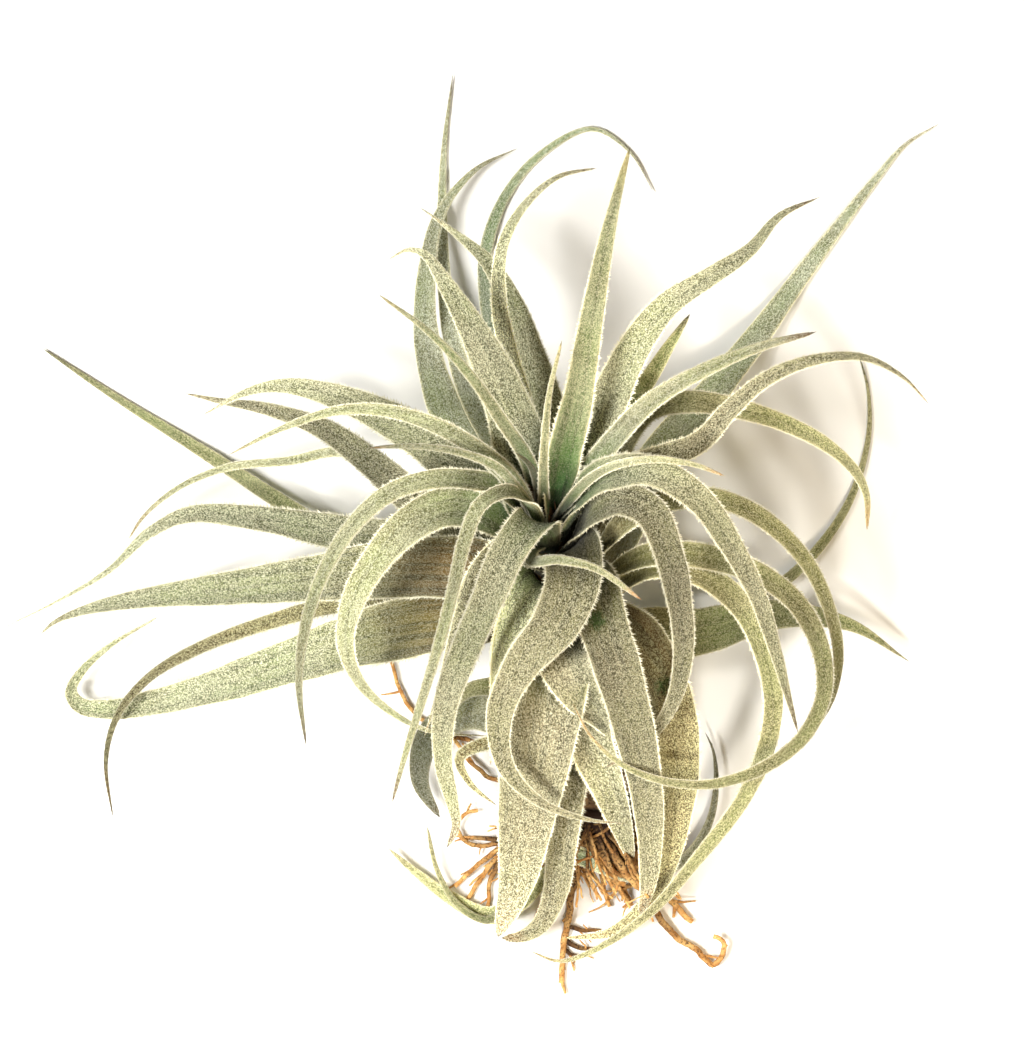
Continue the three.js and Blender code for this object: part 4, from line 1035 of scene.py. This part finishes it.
# The stout roots are evened into short steps, and each sends out a few short broken branches.
def rootStrands():
    draw, form = random.Random("roots"), rootForm
    rows = [(radius, [placeOf(p) for p in path]) for radius, path in rootRows] + tuftRoots()
    strands = []
    for number, (radius, path) in enumerate(rows + fineRoots(draw)):
        length = smoothLine(path, 2)[1]
        line = smoothLine(path, max(4, int(length / (form["pointEvery"] * mm))))[0]
        shares = np.linspace(0, 1, len(line))
        thick = radius * mm * (1 - (1 - form["tipShare"]) * shares)
        # Painted shade: each strand is darkest at the root crown and lighter toward its tip; strands under 18
        # mm long never reach full light.
        strands.append((line, thick, 1 - shares * min(1, length / (form["shadedOver"] * mm))))
        for _ in range(form["branches"] if number < len(rows) else draw.randint(0, 1)):
            at = draw.randint(len(line) // 3, len(line) - 1)
            ahead = unit(line[at] - line[at - 1])
            aside = unit(ahead * 0.9 + np.array([draw.gauss(0, 0.6), draw.gauss(0, 0.6), draw.gauss(0, 0.2)]))
            reach = draw.uniform(*form["branchLength"]) * mm
            steps = np.linspace(0, 1, max(3, int(reach / (form["pointEvery"] * mm)) + 1))
            bow = np.array([draw.gauss(0, 0.15), draw.gauss(0, 0.15), 0])
            twig = line[at] + aside * reach * steps[:, None] + bow * reach * (steps ** 2)[:, None]
            thin = thick[at] * draw.uniform(0.45, 0.8) * (1 - 0.4 * steps)
            strands.append((twig, thin, np.full(len(steps), form["branchShade"])))
    return strands


# The root crown as faces and every strand as a chain of edges, kept off the surface by its own thickness.
def buildRootPlan():
    form = rootForm
    alongs, radii = np.array(form["crownRings"]) * mm, np.array(form["crownShares"])
    crownPoints, faces = turnedGrid(alongs, radii * stemForm["footRadius"] * mm, form["crownSides"],
                                    form["crownLumps"])
    count = len(crownPoints)
    # The root crown itself is painted in full shade.
    points, edges, thickness, shading = [crownPoints], [], [np.zeros(count)], [np.ones(count)]
    for line, thick, shaded in rootStrands():
        line[:, 2] = np.maximum(line[:, 2], thick + form["lift"] * mm)
        edges += [(count + k, count + k + 1) for k in range(len(line) - 1)]
        points.append(line)
        thickness.append(thick)
        shading.append(shaded)
        count += len(line)
    mesh = newMesh("rootPlan", np.vstack(points), faces, edges)
    storeValues(mesh, "thickness", np.concatenate(thickness))
    storeValues(mesh, "shade", np.concatenate(shading))
    storeValues(mesh, "strand", edgeEnds(mesh)[:, 0] >= len(crownPoints), "BOOLEAN", "EDGE")
    return mesh


def wobbled(tree, geometry, size, amount):
    field = cloud(tree, fromNode(tree, "GeometryNodeInputPosition"), size, 1.0, output=1)
    centred = vectorMaths(tree, "SUBTRACT", field, (0.5, 0.5, 0.5))
    return moved(tree, geometry, "Offset", vectorMaths(tree, "SCALE", centred, amount))


# Kinked, flattened, lumpy strands with broken ends along every line of the plan.
def buildRootWires():
    form = rootForm
    tree, given = newGrowth("rootWires", "Roots", {
        "Point every": 0.0008, "Kinks": 0.0006, "Lumps": 0.0002, "Flatness": 0.6})
    strands = edgesToCurve(tree, given["Roots"], "strand", given["Point every"])
    circle = fromNode(tree, "GeometryNodeCurvePrimitiveCircle", {
        "Resolution": form["wireSides"], "Radius": 1.0})
    flat = fromNode(tree, "GeometryNodeTransform", {
        "Geometry": circle, "Scale": combine(tree, 1.0, given["Flatness"], 1.0)})
    wires = fromNode(tree, "GeometryNodeCurveToMesh", {
        "Curve": wobbled(tree, strands, form["bendsPerMetre"], given["Kinks"]), "Profile Curve": flat,
        "Scale": namedField(tree, "thickness"), "Fill Caps": True})
    crownPart = fromNode(tree, "GeometryNodeDeleteGeometry", {
        "Geometry": given["Roots"], "Selection": namedField(tree, "strand", "BOOLEAN")}, domain="EDGE")
    joined = joinParts(tree, (
        wobbled(tree, wires, form["lumpsPerMetre"], given["Lumps"]),
        wobbled(tree, crownPart, form["crownBumpsPerMetre"], form["crownBumps"] * mm)))
    place = addNode(tree, "ShaderNodeSeparateXYZ", {0: fromNode(tree, "GeometryNodeInputPosition")}).outputs
    settled = combine(tree, place[0], place[1], maths(tree, "MAXIMUM", place[2], 0.0))
    return endGrowth(tree, given, moved(tree, joined, "Position", settled))


rootFibre = buildFibreFinish("rootFibre", (246, 196, 124), (200, 142, 78), (44, 24, 12), 0.4)
roots = growObject("roots_wiry", buildRootPlan(), buildRootWires(), {
    "Point every": rootForm["wireEvery"] * mm, "Kinks": rootForm["bend"] * mm,
    "Lumps": rootForm["lumps"] * mm, "Flatness": rootForm["flatness"], "Finish": rootFibre})
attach(roots, "root")
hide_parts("roots")
print("roots ready:", len(roots.data.polygons), "faces")

# The surface, light and camera, in metres.
stageForm = dict(size=3.0, color=(250, 250, 250), roughness=0.8, specular=0.1, aim=(540, 560, 30),
                 roomColor=(1.0, 0.94, 0.82, 1.0), roomLight=0.13)


def buildFloor():
    side = stageForm["size"]
    corners = [(-side, -side, 0), (side, -side, 0), (side, side, 0), (-side, side, 0)]
    mesh = newMesh("paleSurface", corners, [(0, 1, 2, 3)])
    material, tree, shader = newMaterial("paleSurface", stageForm["roughness"], stageForm["specular"])
    shader.inputs["Base Color"].default_value = tone(*stageForm["color"])
    mesh.materials.append(material)
    floor = newObject("paleSurface", mesh)


def addSoftLight(name, place, aim, size, power, color):
    data = bpy.data.lights.new(name, "AREA")
    data.shape = "DISK"
    data.size, data.energy, data.color = size, power, color
    light = newObject(name, data)
    light.location = place
    light.rotation_euler = (Vector(aim) - Vector(place)).to_track_quat("-Z", "Y").to_euler()


buildFloor()
lights = dict(
    windowLight=dict(place=(-0.52, -0.05, 1.0), size=0.4, power=17.5, color=(1.0, 0.98, 0.93)),
    frontLight=dict(place=(0.0, -0.7, 1.05), size=0.15, power=8, color=(1.0, 0.96, 0.86)),
    warmGlow=dict(place=(0.09, 0.0, 0.22), size=0.12, power=0.22, color=(1.0, 0.78, 0.5)),
)
for name, light in lights.items():
    addSoftLight(name, aim=placeOf(stageForm["aim"]), **light)
world = bpy.data.worlds.new("paleRoom")
bpy.context.scene.world = world
world.use_nodes = True
world.node_tree.nodes["Background"].inputs["Color"].default_value = stageForm["roomColor"]
world.node_tree.nodes["Background"].inputs["Strength"].default_value = stageForm["roomLight"]

eye = dict(height=1.2, sensor=36.0, view=0.256, clip=(0.01, 20.0))
lens = bpy.data.cameras.new("overheadCamera")
lens.sensor_fit = "HORIZONTAL"
lens.sensor_width = eye["sensor"]
lens.lens = eye["sensor"] * eye["height"] / eye["view"]
lens.clip_start, lens.clip_end = eye["clip"]
camera = newObject("overheadCamera", lens)
camera.location = (-origin[0] * mm, -origin[1] * mm, eye["height"])
bpy.context.scene.camera = camera
bpy.context.scene.view_settings.view_transform = "Standard"
print("surface, light and camera ready")
